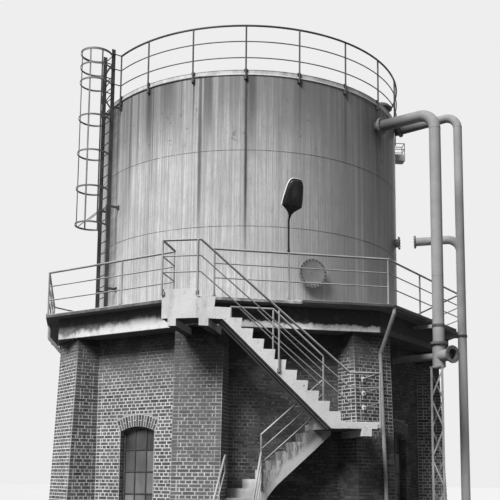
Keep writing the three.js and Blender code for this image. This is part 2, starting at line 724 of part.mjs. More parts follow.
// Gallery railing, four lengths that each turn one corner of the slab
const railLine = SLAB_OUT - RAIL_INSET;
const railHalf = railLine * SIN_C / COS_C;
const FRONT_RAIL_START = -1715;
const LAMP_X = -100;
const LEFT_RAIL_END = 1637;
const POST_CLEAR = 26;
const POST_SPOT = 700;

// Spots along the railing: a face's azimuth and the distance from that face's middle
function galleryRailing(name, heights, start, corner, end, postSpots) {
  const at = ([azimuth, x], z) => polar(azimuth, railLine, x, SLAB_TOP + z);
  const pieces = heights.map((h, i) => (
    tube([at(start, h), at(corner, h), at(end, h)], i === 2 ? TOP_RAIL : LOW_RAIL, 6)));
  for (const spot of postSpots) {
    pieces.push(bar(at(spot, 0), at(spot, heights[2]), POST));
  }
  add(name, joined(pieces), railSteel);
}

// A full length starts at one corner post and ends just short of the next but one
function fullRailing(name, azimuth) {
  const next = azimuth + FACE_STEP;
  const posts = [[azimuth, -railHalf], [azimuth, -POST_SPOT], [azimuth, POST_SPOT], [azimuth, railHalf],
    [next, -POST_SPOT], [next, POST_SPOT]];
  galleryRailing(name, GALLERY_RAILS, [azimuth, -railHalf], [azimuth, railHalf],
    [next, railHalf - POST_CLEAR], posts);
}

galleryRailing('gallery_railing_front', FRONT_RAILS, [0, FRONT_RAIL_START], [0, railHalf],
  [45, railHalf - POST_CLEAR],
  [[0, FRONT_RAIL_START + POST], [0, LAMP_X], [0, railHalf], [45, -400], [45, 940]]);
fullRailing('gallery_railing_right', 90);
fullRailing('gallery_railing_back', 180);
galleryRailing('gallery_railing_left', GALLERY_RAILS, [270, -railHalf], [270, railHalf], [315, LEFT_RAIL_END],
  [[270, -railHalf], [270, -POST_SPOT], [270, POST_SPOT], [270, railHalf], [315, 150],
    [315, LEFT_RAIL_END - POST]]);

// Lamp on a tall post of the front railing, which ends square to the lamp's neck
const LAMP_TILT = rad(66);
const LAMP_YAW = rad(15);
const LAMP_BEND_Z = 6950;
const LAMP_NECK_Z = 7110;
const LAMP_LEAN = 45;
const lampWay = v3(Math.cos(LAMP_TILT) * Math.sin(LAMP_YAW), -Math.cos(LAMP_TILT) * Math.cos(LAMP_YAW),
  Math.sin(LAMP_TILT));
const lampFoot = polar(0, railLine, LAMP_X, SLAB_TOP + FRONT_RAILS[2] + TOP_RAIL + GAP);
const lampNeck = v3(lampFoot.x, lampFoot.y - LAMP_LEAN, LAMP_NECK_Z);
const lampElbow = lampNeck.clone().addScaledVector(lampWay, -60);
add('lamp_pole', tube([lampFoot, lampFoot.clone().setZ(LAMP_BEND_Z), lampElbow, lampNeck], 22, 8), darkSteel);

// The lamp's housing in its own frame: Y along it from the neck, Z out of its back
const HOUSING = [[-240, 260], [-230, 430], [-200, 630], [-155, 790], [-80, 850], [80, 850], [155, 790],
  [200, 630], [230, 430], [240, 260], [120, 140], [-120, 140]];
const HOUSING_MIDDLE = 500;
const LENS_SHARE = 0.82;
const BACK_SHARE = 0.7;
function lampHead() {
  const shrunk = (share) => HOUSING.map(([x, y]) => (
    [x * share, HOUSING_MIDDLE + (y - HOUSING_MIDDLE) * share]));
  const slices = [
    raised(shrunk(LENS_SHARE), -95, -90),
    raised(HOUSING, -20, 15),
    raised(shrunk(BACK_SHARE), 80, 85),
  ];
  const shell = wasm.Manifold.hull(slices.map(solid));
  const neck = new THREE.CylinderGeometry(75, 26, 260, 10).translate(0, 130, 0);
  const seat = lampNeck.clone().addScaledVector(lampWay, GAP);
  return geometryOf(shell.add(solid(neck))).rotateX(LAMP_TILT).rotateZ(Math.PI + LAMP_YAW)
    .translate(seat.x, seat.y, seat.z);
}

add('lamp_head', lampHead(), darkSteel);

// Gutters and downpipes
const GUTTER = 130;
const GUTTER_START = 180;
const slabHalf = SLAB_OUT * SIN_C / COS_C;
const gutterAt = (azimuth, x, out) => {
  const p = polar(azimuth, SLAB_OUT + out, x, 0);
  return [p.x, p.y];
};
const gutterHalf = (SLAB_OUT + GUTTER) * SIN_C / COS_C;
const GUTTER_END = 1490;
const GUTTER_BOTTOM = SLAB_BOTTOM + 5;
const gutterPlan = [gutterAt(0, GUTTER_START, GAP), gutterAt(0, slabHalf, GAP), gutterAt(45, GUTTER_END, GAP),
  gutterAt(45, GUTTER_END, GUTTER), gutterAt(0, gutterHalf, GUTTER), gutterAt(0, GUTTER_START, GUTTER)];
add('gutter', raised(gutterPlan, GUTTER_BOTTOM, SLAB_TOP), railSteel);

function pierFront(z) {
  return PIER_FOOT_OUT + (PIER_TOP_OUT - PIER_FOOT_OUT) * z / BEAM_BOTTOM;
}

const PIPE_OFF = 60;
const SPOUT_R = 5700;
const SPOUT_ASIDE = 50;
const DOWNPIPE_R = 42;
const PIPE_ASIDE = 190;
const PIPE_SHOE = 250;
const downpipeRight = [
  polar(CORNER, SPOUT_R, SPOUT_ASIDE, GUTTER_BOTTOM - GAP),
  polar(CORNER, SPOUT_R, SPOUT_ASIDE, GUTTER_BOTTOM - 110),
  polar(CORNER, pierFront(4300) + PIPE_OFF, PIPE_ASIDE - 10, 4330),
  polar(CORNER, pierFront(0) + PIPE_OFF, PIPE_ASIDE, PIPE_SHOE),
  polar(CORNER, pierFront(0) + PIPE_OFF, PIPE_ASIDE, 0),
];
add('downpipe_right', tube(rounded(downpipeRight, PIPE_OFF, 4), DOWNPIPE_R, 10), railSteel);
const LEFT_PIPE_Y = -1130;
const downpipeLeft = [
  v3(-SLAB_OUT + PIPE_OFF, LEFT_PIPE_Y - PIPE_OFF, SLAB_BOTTOM - GAP),
  v3(-SLAB_OUT + PIPE_OFF, LEFT_PIPE_Y - PIPE_OFF, SLAB_BOTTOM - 330),
  v3(-WALL_OUT - PIPE_OFF, LEFT_PIPE_Y, 4100),
  v3(-WALL_OUT - PIPE_OFF, LEFT_PIPE_Y, 0),
];
add('downpipe_left', tube(rounded(downpipeLeft, PIPE_OFF, 4), DOWNPIPE_R, 10), railSteel);

// Outside stair: top landing, upper flight, mid landing, lower flight with winders
const SLAB_CORNER_X = -SLAB_OUT * SIN_C / COS_C;
const UNDERCUT = 20;
const landingFront = SLAB_CORNER_X * Math.sin(rad(LANDING_AZ)) - STAIR_OUT * Math.cos(rad(LANDING_AZ));
const planPoint = (r, u) => {
  const p = polar(LANDING_AZ, r, u, 0);
  return [p.x, p.y];
};
const pierTwo = () => pierSolid(GAP).rotateZ(rad(LANDING_AZ));
const pierThree = () => pierSolid(GAP).rotateZ(rad(CORNER));

// A short beam under the landings, which starts at the front of the pier
const STUB_DEPTH = 150;
const stubStart = pierFront(LANDING_BOTTOM - STUB_DEPTH) + 2;
function stub(u0, u1, front) {
  const beam = block(u0, u1, -front, -stubStart, LANDING_BOTTOM - STUB_DEPTH, LANDING_BOTTOM + 5);
  return beam.rotateZ(rad(LANDING_AZ));
}

const leftBack = (SLAB_OUT + GAP + LANDING_LEFT * SIN_C) / COS_C;
const slabCorner = planPoint((SLAB_OUT + GAP) / COS_C, 0);
const landingPlan = [planPoint(landingFront, LANDING_LEFT), [SLAB_CORNER_X, STAIR_OUT],
  [SLAB_CORNER_X, -SLAB_OUT - GAP], slabCorner, planPoint(leftBack, LANDING_LEFT)];
const landingPlate = raised(landingPlan, LANDING_BOTTOM, SLAB_TOP);
add('top_landing', joined([landingPlate, stub(-330, -160, landingFront)]), paleConcrete);

const upperRise = (FIRST_TREAD - MID_TOP) / UPPER_STEPS;
const secondNose = UPPER_END - UPPER_GOING * (UPPER_STEPS - 2);
const FIRST_TREAD_DEPTH = 318;
function upperFlight() {
  const start = SLAB_CORNER_X + GAP;
  const outline = [[start, LANDING_BOTTOM], [start, FIRST_TREAD]];
  for (let k = 0; k < UPPER_STEPS; k += 1) {
    const nose = k === 0 ? secondNose - FIRST_TREAD_DEPTH : secondNose + UPPER_GOING * (k - 1);
    const tread = FIRST_TREAD - upperRise * k;
    outline.push([nose, tread]);
    outline.push([nose - (k < UPPER_STEPS - 1 ? UNDERCUT : 0), tread - upperRise]);
  }
  outline.push([UPPER_END, MID_BOTTOM], [UPPER_END - 200, MID_BOTTOM], [-1620, LANDING_BOTTOM]);
  const trimmed = cut(stub(305, 485, landingFront + 200), [block(-4000, 4000, -9000, STAIR_OUT, 0, 9000)]);
  return joined([sideways(outline, STAIR_OUT, STAIR_IN), trimmed]);
}

add('stair_upper_flight', upperFlight(), paleConcrete);

const wallLine = -WALL_OUT - GAP;
const midPlan = [[UPPER_END + GAP, STAIR_OUT], [MID_RIGHT, STAIR_OUT], [MID_RIGHT, wallLine],
  [LOWER_START, wallLine], [LOWER_START, STAIR_IN + GAP], [UPPER_END + GAP, STAIR_IN + GAP]];
const midStub = block(1270, 1490, STAIR_OUT, -4400, MID_BOTTOM - STUB_DEPTH, MID_BOTTOM + 5);
add('mid_landing', cut(joined([raised(midPlan, MID_BOTTOM, MID_TOP), midStub]), [pierThree()]), paleConcrete);

const lowerRise = MID_TOP / LOWER_STEPS;
const lowerTread = (k) => MID_TOP - lowerRise * k;
const pivotX = LOWER_START - LOWER_GOING * LOWER_STRAIGHT;
const pivotR = pivotX * Math.sin(rad(LANDING_AZ)) - LOWER_OUT * Math.cos(rad(LANDING_AZ));
const pivotU = pivotX * Math.cos(rad(LANDING_AZ)) + LOWER_OUT * Math.sin(rad(LANDING_AZ));

function lowerFlight() {
  const outline = [[865, 2500], [865, MID_BOTTOM - GAP], [LOWER_START, MID_BOTTOM - GAP]];
  for (let k = 1; k <= LOWER_STRAIGHT; k += 1) {
    const nose = LOWER_START - LOWER_GOING * k;
    outline.push([nose + LOWER_GOING + (k > 1 ? UNDERCUT : 0), lowerTread(k)]);
    outline.push([nose, lowerTread(k)]);
  }
  outline.push([pivotX - 1, lowerTread(LOWER_STRAIGHT)], [pivotX - 1, 820]);
  outline.push([-600, 930], [-560, 1070], [-490, 1205], [-395, 1330], [-289, 1450], [-105, 1620]);
  const pieces = [sideways(outline, LOWER_OUT, wallLine)];
  const reach = 1050;
  for (let j = 0; j < WINDERS; j += 1) {
    const a0 = rad(CORNER * j - 0.3);
    const a1 = rad(CORNER * (j + 1));
    const sweep = (a) => [pivotX - reach * Math.sin(a), LOWER_OUT + reach * Math.cos(a)];
    const wedge = raised([[pivotX, LOWER_OUT], sweep(a0), sweep(a1)], 0, lowerTread(LOWER_STRAIGHT + 1 + j));
    const pastWall = block(-4000, 4000, wallLine, 0, -10, 3000);
    const pastPivot = block(pivotX, 4000, -9000, 0, -10, 3000);
    pieces.push(cut(wedge, [pastWall, pastPivot]));
  }
  const first = LOWER_STRAIGHT + WINDERS + 1;
  for (let k = first; k < LOWER_STEPS; k += 1) {
    const end = pivotR + LOWER_GOING * (k - first + 1);
    pieces.push(block(PIER_HALF, pivotU, -end, -pivotR + 2, 0, lowerTread(k)).rotateZ(rad(LANDING_AZ)));
  }
  return cut(joined(pieces), [pierTwo()]);
}

add('stair_lower_flight', lowerFlight(), paleConcrete);

// Stair railings
const RAIL_OFF = 27;
const outerY = STAIR_OUT - RAIL_OFF;
const MID_RAILS = [382, 694, 998];
const cornerLeft = (z) => polar(LANDING_AZ, landingFront + RAIL_OFF, LANDING_LEFT + 8, z);
const cornerRight = (z) => v3(SLAB_CORNER_X + 15, outerY, z);
const slopeStart = (z) => v3(SLAB_CORNER_X + 75, outerY, z);
const kink = (z) => v3(UPPER_END + 175, outerY, z);
const endPost = (z) => v3(MID_RIGHT - 12, outerY, z);
const railSize = (i) => (i === 2 ? TOP_RAIL : LOW_RAIL);
const frontOfPier = (x, z) => (x * SIN_C - pierFront(z)) / COS_C;

function outerRailing() {
  const pieces = [];
  for (let i = 0; i < 3; i += 1) {
    const high = SLAB_TOP + GALLERY_RAILS[i];
    const low = MID_TOP + MID_RAILS[i];
    const r = railSize(i);
    pieces.push(tube([cornerLeft(high), slopeStart(high), kink(low), endPost(low)], r, 6));
    const back = polar(LANDING_AZ, (railLine - LANDING_LEFT * -SIN_C) / COS_C + 40, LANDING_LEFT + 8, high);
    pieces.push(bar(cornerLeft(high), back, r));
    const wallEnd = v3(endPost(low).x, frontOfPier(endPost(low).x, low) - 12, low);
    pieces.push(bar(endPost(low), wallEnd, r));
  }
  const topLevel = SLAB_TOP + GALLERY_RAILS[2];
  const lowLevel = MID_TOP + MID_RAILS[2];
  const slope = (lowLevel - topLevel) / (kink(0).x - slopeStart(0).x);
  const midX = -468;
  const midZ = topLevel + slope * (midX - slopeStart(0).x);
  pieces.push(bar(cornerLeft(SLAB_TOP - 130), cornerLeft(topLevel), POST));
  pieces.push(bar(cornerRight(SLAB_TOP - 130), cornerRight(topLevel), POST));
  pieces.push(bar(v3(midX, outerY, midZ - 1280), v3(midX, outerY, midZ), POST));
  pieces.push(bar(endPost(MID_BOTTOM + 20), endPost(lowLevel), POST));
  for (const p of [cornerRight(SLAB_TOP - 100), v3(midX, outerY, midZ - 1250), endPost(MID_BOTTOM + 50)]) {
    pieces.push(block(p.x - 35, p.x + 35, outerY - 2, STAIR_OUT - GAP, p.z - 30, p.z + 50));
  }
  pieces.push(block(LANDING_LEFT + 2, LANDING_LEFT + 60, -landingFront - RAIL_OFF, -landingFront - GAP,
    SLAB_TOP - 130, SLAB_TOP - 50).rotateZ(rad(LANDING_AZ)));
  return joined(pieces);
}

add('stair_railing_outer', outerRailing(), railSteel);

const innerY = STAIR_IN + RAIL_OFF;
const INNER_TOP = 5105;
const INNER_TOP_START = -1360;
const INNER_BEND = -444;
const INNER_END = 642;
function innerRailing() {
  const slope = -upperRise / UPPER_GOING;
  const pieces = [];
  for (let i = 0; i < 3; i += 1) {
    const drop = 330 * (2 - i);
    const start = INNER_BEND + drop / slope;
    const endZ = INNER_TOP + slope * (INNER_END - start);
    pieces.push(bar(v3(start, innerY, INNER_TOP), v3(INNER_END, innerY, endZ), railSize(i)));
  }
  pieces.push(bar(v3(INNER_TOP_START, innerY, INNER_TOP), v3(INNER_BEND, innerY, INNER_TOP), TOP_RAIL));
  const topAt = (x) => INNER_TOP + slope * (x - INNER_BEND);
  const spots = [[INNER_TOP_START + 15, INNER_TOP], [INNER_BEND, INNER_TOP], [INNER_END, topAt(INNER_END)]];
  for (const [x, top] of spots) {
    const depth = x === INNER_TOP_START + 15 ? 420 : 1250;
    const foot = x === INNER_END ? MID_TOP : top - depth;
    pieces.push(bar(v3(x, innerY, foot), v3(x, innerY, top), POST));
    if (x !== INNER_END) {
      pieces.push(block(x - 30, x + 30, STAIR_IN + GAP, innerY, foot + 10, foot + 80));
    }
  }
  return joined(pieces);
}

add('stair_railing_inner', innerRailing(), railSteel);

const lowerY = LOWER_OUT - RAIL_OFF;
const LOWER_RAIL_TOP = 690;
const LOWER_BEND_Z = [1890, 2180, 2480];
function lowerRailing() {
  const pieces = [];
  const slope = lowerRise / LOWER_GOING;
  const turnX = pivotX - 15;
  const endR = pivotR + LOWER_GOING * 5 - 60;
  const foot = (z) => polar(LANDING_AZ, endR, pivotU + RAIL_OFF, z);
  const corner = (z) => v3(turnX, lowerY, z);
  const below = 370;
  for (let i = 0; i < 3; i += 1) {
    const z = LOWER_BEND_Z[i];
    const top = v3(LOWER_RAIL_TOP, lowerY, z + slope * (LOWER_RAIL_TOP - turnX));
    pieces.push(bar(corner(z), top, railSize(i)));
    pieces.push(bar(corner(z - below), foot(z - below - 1020), railSize(i)));
  }
  pieces.push(bar(corner(LOWER_BEND_Z[0] - below - 160), corner(LOWER_BEND_Z[2]), POST));
  pieces.push(bar(v3(LOWER_RAIL_TOP, lowerY, MID_TOP), v3(LOWER_RAIL_TOP, lowerY,
    LOWER_BEND_Z[2] + slope * (LOWER_RAIL_TOP - turnX)), POST));
  pieces.push(bar(foot(0), foot(LOWER_BEND_Z[2] - below - 1020), POST));
  return joined(pieces);
}

add('stair_railing_lower', lowerRailing(), railSteel);

function handrail() {
  const u = PIER_HALF + 60;
  const spot = (r, z) => polar(LANDING_AZ, r, u, z);
  const top = spot(4990, 2050);
  const low = spot(5990, 1080);
  const post = 5945;
  const down = v3(0, 0, -330);
  return joined([
    bar(top, low, TOP_RAIL),
    bar(top.clone().add(down), low.clone().add(down), LOW_RAIL),
    bar(spot(post, lowerTread(LOWER_STEPS - 1)), spot(post, 1124), POST),
    bar(spot(4990, 1720), top, POST),
    bar(spot(4990, 2000), polar(LANDING_AZ, 4990, PIER_HALF + 12, 2000), 12),
    bar(spot(4990, 1750), polar(LANDING_AZ, 4990, PIER_HALF + 12, 1750), 12),
  ]);
}

add('stair_handrail', handrail(), railSteel);

export default tower;
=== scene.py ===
"""Water tower: the looks of the brick base, the gallery, the streaked tank, the stair and the pipes.

All lengths are in metres, in the tower's own frame: the tank's axis at ground level is the origin,
the front looks along -Y, and azimuths are degrees from the front, positive towards +X. A place is
often given as an azimuth, r outwards from the axis, u sideways and z.
"""
import json
import math
import random

import bpy
from mathutils import Matrix, Vector


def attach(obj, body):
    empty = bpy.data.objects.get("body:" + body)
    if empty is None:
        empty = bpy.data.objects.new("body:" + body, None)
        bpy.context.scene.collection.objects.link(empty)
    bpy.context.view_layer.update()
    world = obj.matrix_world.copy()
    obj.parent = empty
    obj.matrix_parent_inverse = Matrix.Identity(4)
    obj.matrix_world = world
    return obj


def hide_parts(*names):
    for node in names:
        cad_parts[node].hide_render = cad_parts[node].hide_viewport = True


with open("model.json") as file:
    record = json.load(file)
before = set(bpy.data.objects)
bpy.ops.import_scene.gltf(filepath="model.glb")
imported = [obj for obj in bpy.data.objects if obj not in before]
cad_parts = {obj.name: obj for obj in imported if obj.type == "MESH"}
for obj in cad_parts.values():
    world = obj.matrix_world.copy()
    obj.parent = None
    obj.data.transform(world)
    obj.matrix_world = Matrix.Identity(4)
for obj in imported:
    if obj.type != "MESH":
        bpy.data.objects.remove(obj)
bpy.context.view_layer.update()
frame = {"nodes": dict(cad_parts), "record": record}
NODES = frame["nodes"]

# Main dimensions
CORNER = 22.5
FACE_STEP = 45.0
SIN_C = math.sin(math.radians(CORNER))
COS_C = math.cos(math.radians(CORNER))
WALL_OUT = 4.35
PIER_HALF = 0.53
PIER_FOOT_OUT = 5.22
PIER_TOP_OUT = 5.02
BEAM_BOTTOM = 4.76
BEAM_OUT = 4.9
SLAB_BOTTOM = 5.25
SLAB_TOP = 5.33
SLAB_OUT = 5.2
TANK_R = 4.0
SHELL_IN = 3.985
SHELL_BOTTOM = 5.345
SHELL_TOP = 10.88
RIM_TOP = 11.0
RIM_OUT = 4.022
SEAM_HEIGHTS = (7.26, 9.06)
ROOF_SEAM_FIRST = 4.0
ROOF_SEAM_STEP = 15.0
POST_FIRST = -48.1
POST_STEP = 18.0
MANHOLE_AZ = 10.0
MANHOLE_Z = 6.215
SEAT = 0.0003
FACES = ("front", "front_right", "right", "back_right", "back", "back_left", "left", "front_left")
UP = Vector((0, 0, 1))


def polar(azimuth, r, u=0.0, z=0.0):
    """A point at an azimuth, r outwards and u sideways."""
    a = math.radians(azimuth)
    return Vector((r * math.sin(a) + u * math.cos(a), -r * math.cos(a) + u * math.sin(a), z))


def about(azimuth):
    return Matrix.Rotation(math.radians(azimuth), 4, "Z")


def around(middle, half):
    """The span from half below a middle to half above it."""
    return (middle - half, middle + half)


def clamped(share):
    return min(1.0, max(0.0, share))


# Camera, at the photograph's place and angle
EYE = Vector((-4.323, -22.8, 1.6))
HEADING = math.radians(11.85)
PITCH = math.radians(7.68)
ROLL = math.radians(0.44)
LENS = 62.72
SHIFT = (-0.0279, 0.22)


def make_camera():
    data = bpy.data.cameras.new("camera")
    data.lens = LENS
    data.sensor_width = 36.0
    data.shift_x, data.shift_y = SHIFT
    data.clip_end = 500.0
    camera = bpy.data.objects.new("camera", data)
    bpy.context.collection.objects.link(camera)
    level = Vector((math.sin(HEADING), math.cos(HEADING), 0))
    forward = level * math.cos(PITCH) + UP * math.sin(PITCH)
    right = forward.cross(UP).normalized()
    over = right.cross(forward)
    side = right * math.cos(ROLL) + over * math.sin(ROLL)
    top = over * math.cos(ROLL) - right * math.sin(ROLL)
    turn = Matrix((side, top, -forward)).transposed()
    camera.matrix_world = Matrix.Translation(EYE) @ turn.to_4x4()
    bpy.context.scene.camera = camera


make_camera()


# Node materials
def grey(level):
    return (level, level, level, 1.0)


class Value:
    """An output of a node. A sum with it adds a node."""

    def __init__(self, finish, socket):
        self.finish = finish
        self.socket = socket

    def __add__(self, other):
        return self.finish.math("ADD", self, other)

    def __sub__(self, other):
        return self.finish.math("SUBTRACT", self, other)

    def __mul__(self, other):
        return self.finish.math("MULTIPLY", self, other)

    def __truediv__(self, other):
        return self.finish.math("DIVIDE", self, other)

    def __abs__(self):
        return self.finish.math("ABSOLUTE", self)


class Finish:
    """A procedural material in greys, whose colour so far is its base.

    A band turns a value's run from low to high into a smooth run from start to end. A coat mixes the
    base towards a grey level by a share, and a fade does it where a value runs from low to high.
    """

    def __init__(self, name, roughness, specular=0.4):
        self.material = bpy.data.materials.new(name)
        self.material.use_nodes = True
        self.tree = self.material.node_tree
        self.tree.nodes.clear()
        shader = self.node("ShaderNodeBsdfPrincipled")
        output = self.node("ShaderNodeOutputMaterial")
        self.tree.links.new(shader.outputs[0], output.inputs[0])
        self.shader = shader.inputs
        self.shader["Roughness"].default_value = roughness
        self.shader["Specular IOR Level"].default_value = specular
        self.place = self.out(self.node("ShaderNodeTexCoord"), "Object")
        self.base = 0.0

    def node(self, kind, *inputs, **settings):
        """A new node, with its first inputs in order. None leaves an input as it is."""
        made = self.tree.nodes.new(kind)
        for key, value in settings.items():
            setattr(made, key, value)
        for socket, value in zip(made.inputs, inputs):
            if value is not None:
                self.feed(socket, value)
        return made

    def feed(self, socket, value):
        if isinstance(value, Value):
            self.tree.links.new(value.socket, socket)
        else:
            socket.default_value = value

    def out(self, node, key=0):
        return Value(self, node.outputs[key])

    def math(self, operation, *inputs, clamp=False):
        return self.out(self.node("ShaderNodeMath", *inputs, operation=operation, use_clamp=clamp))

    def length(self, a, b):
        return self.math("SQRT", a * a + b * b)

    def nearest(self, value, first, step):
        """How far a value is from the nearest of evenly spaced ones."""
        return abs(self.math("FRACT", (value - first) / step + 0.5) - 0.5) * step

    def scaled(self, x, y, z):
        return self.out(self.node("ShaderNodeMapping", self.place, None, None, (x, y, z)))

    def noise(self, scale, detail=3.0, rough=0.55, tall=None, vector=None):
        """Noise in space. Below 1, tall draws it out upwards."""
        if vector is None:
            vector = self.scaled(1.0, 1.0, tall) if tall else self.place
        return self.out(self.node("ShaderNodeTexNoise", vector, None, scale, detail, rough))

    def band(self, value, low, high, start=0.0, end=1.0):
        return self.out(self.node("ShaderNodeMapRange", value, low, high, start, end,
                                  interpolation_type="SMOOTHSTEP"))

    def mix_number(self, factor, a, b):
        return self.out(self.node("ShaderNodeMix", factor, None, a, b, data_type="FLOAT"))

    def mix(self, factor, a, b):
        """Two colours mixed. A plain number is a grey."""
        a, b = (colour if isinstance(colour, Value) else grey(colour) for colour in (a, b))
        made = self.node("ShaderNodeMix", factor, *[None] * 5, a, b, data_type="RGBA")
        return self.out(made, 2)

    def axes(self, vector=None):
        made = self.node("ShaderNodeSeparateXYZ", self.place if vector is None else vector)
        return [self.out(made, key) for key in range(3)]

    def upward(self):
        """How far a surface looks up: 1 for a floor, -1 for a ceiling."""
        return self.axes(self.out(self.node("ShaderNodeNewGeometry"), "True Normal"))[2]

    def attribute(self, name):
        return self.out(self.node("ShaderNodeAttribute", attribute_name=name), "Fac")

    def coat(self, share, level):
        self.base = self.mix(share, self.base, level)

    def fade(self, value, low, high, share, level):
        self.coat(self.band(value, low, high, 0.0, share), level)

    def rough(self, value):
        self.feed(self.shader["Roughness"], value)

    def done(self, height=None, distance=0.0, strength=1.0):
        """Sets the colour, and a bump from a height, and gives the material."""
        self.feed(self.shader["Base Color"], self.base)
        if height is not None:
            made = self.node("ShaderNodeBump")
            made.inputs["Strength"].default_value = strength
            made.inputs["Distance"].default_value = distance
            self.feed(made.inputs["Height"], height)
            self.feed(self.shader["Normal"], self.out(made))
        return self.material


def brick_finish():
    f = Finish("brick", 0.88, 0.25)
    soot = f.attribute("soot")
    grain = f.noise(60.0, 4.0)
    f.base = f.mix(f.attribute("tone"), 0.03, 0.135)
    f.fade(grain, 0.35, 0.75, 0.3, 0.15)
    f.fade(f.noise(1.3), 0.35, 0.7, 0.3, 0.045)
    f.fade(soot, 0.2, 0.55, 0.5, 0.125)
    f.coat(f.band(f.noise(22.0, 3.0, 0.6), 0.58, 0.68) * f.band(soot, 0.3, 0.75, 0.15, 0.6), 0.24)
    # Where a face is sootiest or in the deepest painted shade, the bricks go near black
    f.fade(soot, 0.7, 1.0, 0.8, 0.03)
    return f.done(grain, 0.003, 0.8)


def mortar_finish():
    f = Finish("mortar", 0.95, 0.15)
    soot = f.attribute("soot")
    grain = f.noise(45.0, 4.0)
    patch = f.noise(2.4)
    f.base = f.mix(grain, 0.48, 0.74)
    f.fade(patch, 0.42, 0.68, 0.4, 0.3)
    # The mortar darkens with the face's sootiness and painted shade
    sooty_and_shaded = soot * f.band(patch, 0.2, 0.6, 0.85, 1.15) * f.band(f.noise(0.75, 2.0), 0.36, 0.6, 0.72, 1.12)
    clean = f.band(f.noise(16.0, 4.0, 0.65), 0.56, 0.66) * f.band(soot, 0.85, 0.7, 0.0, 0.45)
    f.coat(f.math("SUBTRACT", sooty_and_shaded, clean, clamp=True), 0.05)
    return f.done(grain, 0.004, 0.8)


def inner_wall_finish():
    f = Finish("wall_core", 0.95, 0.15)
    grain = f.noise(12.0, 4.0)
    f.base = f.mix(grain, 0.2, 0.36)
    return f.done(grain, 0.004)


def beam_finish():
    """Cast concrete: black grime under the gallery, and a ragged clean band along its foot.

    The band is painted paler on the front faces as painted light; right of the front corner and on the
    undersides the concrete is painted dark as painted shade.
    """
    f = Finish("beam_concrete", 0.9, 0.2)
    x, y, z = f.axes()
    drips = f.noise(9.0, 5.0, 0.7, tall=0.4)
    broad = f.noise(0.9, 2.0, tall=0.2)
    grain = f.noise(30.0, 5.0)
    mottle = f.noise(6.0, 5.0, 0.7)
    front = f.band(x, -2.1, -1.6) * f.band(y, 1.0, -1.0)
    edge = f.band(x, -4.75, -4.2, 4.8, 4.9) + f.band(x, -4.2, -3.2, 0.0, 0.05)
    edge = f.mix_number(front, edge, 4.88)
    edge = edge + (drips - 0.5) * f.band(front, 0.0, 1.0, 0.24, 0.12)
    edge = edge + (broad - 0.5) * f.band(front, 0.0, 1.0, 0.8, 0.1)
    # Painted light: the clean band is paler on the faces towards the front, which get little light, and
    # darker on the others, and darker again at the far left
    clean = f.mix(grain, f.mix(front, 0.5, 0.8), f.mix(front, 0.72, 0.97))
    clean = f.mix(f.band(mottle, 0.5, 0.72, 0.0, 0.5), clean, 0.25)
    clean = f.mix(f.band(x, -4.3, -4.8, 0.0, 0.45), clean, 0.22)
    dark = f.mix(f.band(mottle, 0.35, 0.68), 0.1, 0.2)
    dark = f.mix(f.band(z, 4.98, 5.22), dark, 0.1)
    dark = f.mix(front, dark, 0.055)
    dark = f.mix(front * f.band(mottle, 0.5, 0.7, 0.0, 0.7), dark, 0.12)
    above = z - edge + (mottle - 0.5) * 0.14
    f.base = f.mix(f.band(above / f.band(front, 0.0, 1.0, 0.13, 0.05), -0.25, 0.75), clean, dark)
    f.fade(z + drips * 0.03, BEAM_BOTTOM + 0.03, BEAM_BOTTOM + 0.01, 0.8, 0.03)
    # Painted shade: right of the front corner the beam's faces are painted near black
    f.coat(f.band(x, 2.0, 2.06) * f.band(y, -1.4, -1.9) * 0.94, 0.045)
    # Painted shade: faces pointing down are painted dark
    f.fade(f.upward(), -0.3, -0.6, 0.92, 0.05)
    return f.done(grain + mottle, 0.005)


def slab_finish():
    """The gallery's slab: a pale arris over a grimy edge, mottled at the front, with an underside painted
    dark as painted shade.
    """
    f = Finish("slab_concrete", 0.9, 0.2)
    x, y, z = f.axes()
    patch = f.noise(3.4, 5.0, 0.75)
    mottled = f.mix(f.band(patch, 0.42, 0.6), 0.18, 0.45)
    grimy = f.mix(f.band(patch, 0.4, 0.65), 0.08, 0.17)
    f.base = f.mix(f.band(x, -2.3, -2.0), grimy, mottled)
    f.fade(z, SLAB_TOP - 0.014, SLAB_TOP - 0.008, 0.8, 0.55)
    # Painted shade: faces pointing down are painted dark
    f.fade(f.upward(), -0.3, -0.6, 0.93, 0.09)
    return f.done(f.noise(28.0, 5.0), 0.003)


# The lower flight's underside climbs along z = slope * x + foot
FLIGHT_SLOPE = 0.907
FLIGHT_FOOT = 1.715
# Marks of form boards along the upper flight's underside: place across, half width, tone and strength
SOFFIT_LINES = ((-5.86, 0.02, 0.05, 0.8), (-5.7, 0.034, 0.01, 0.95), (-5.6, 0.022, 0.8, 0.75),
                (-5.49, 0.045, 0.01, 0.95), (-5.33, 0.022, 0.7, 0.5))


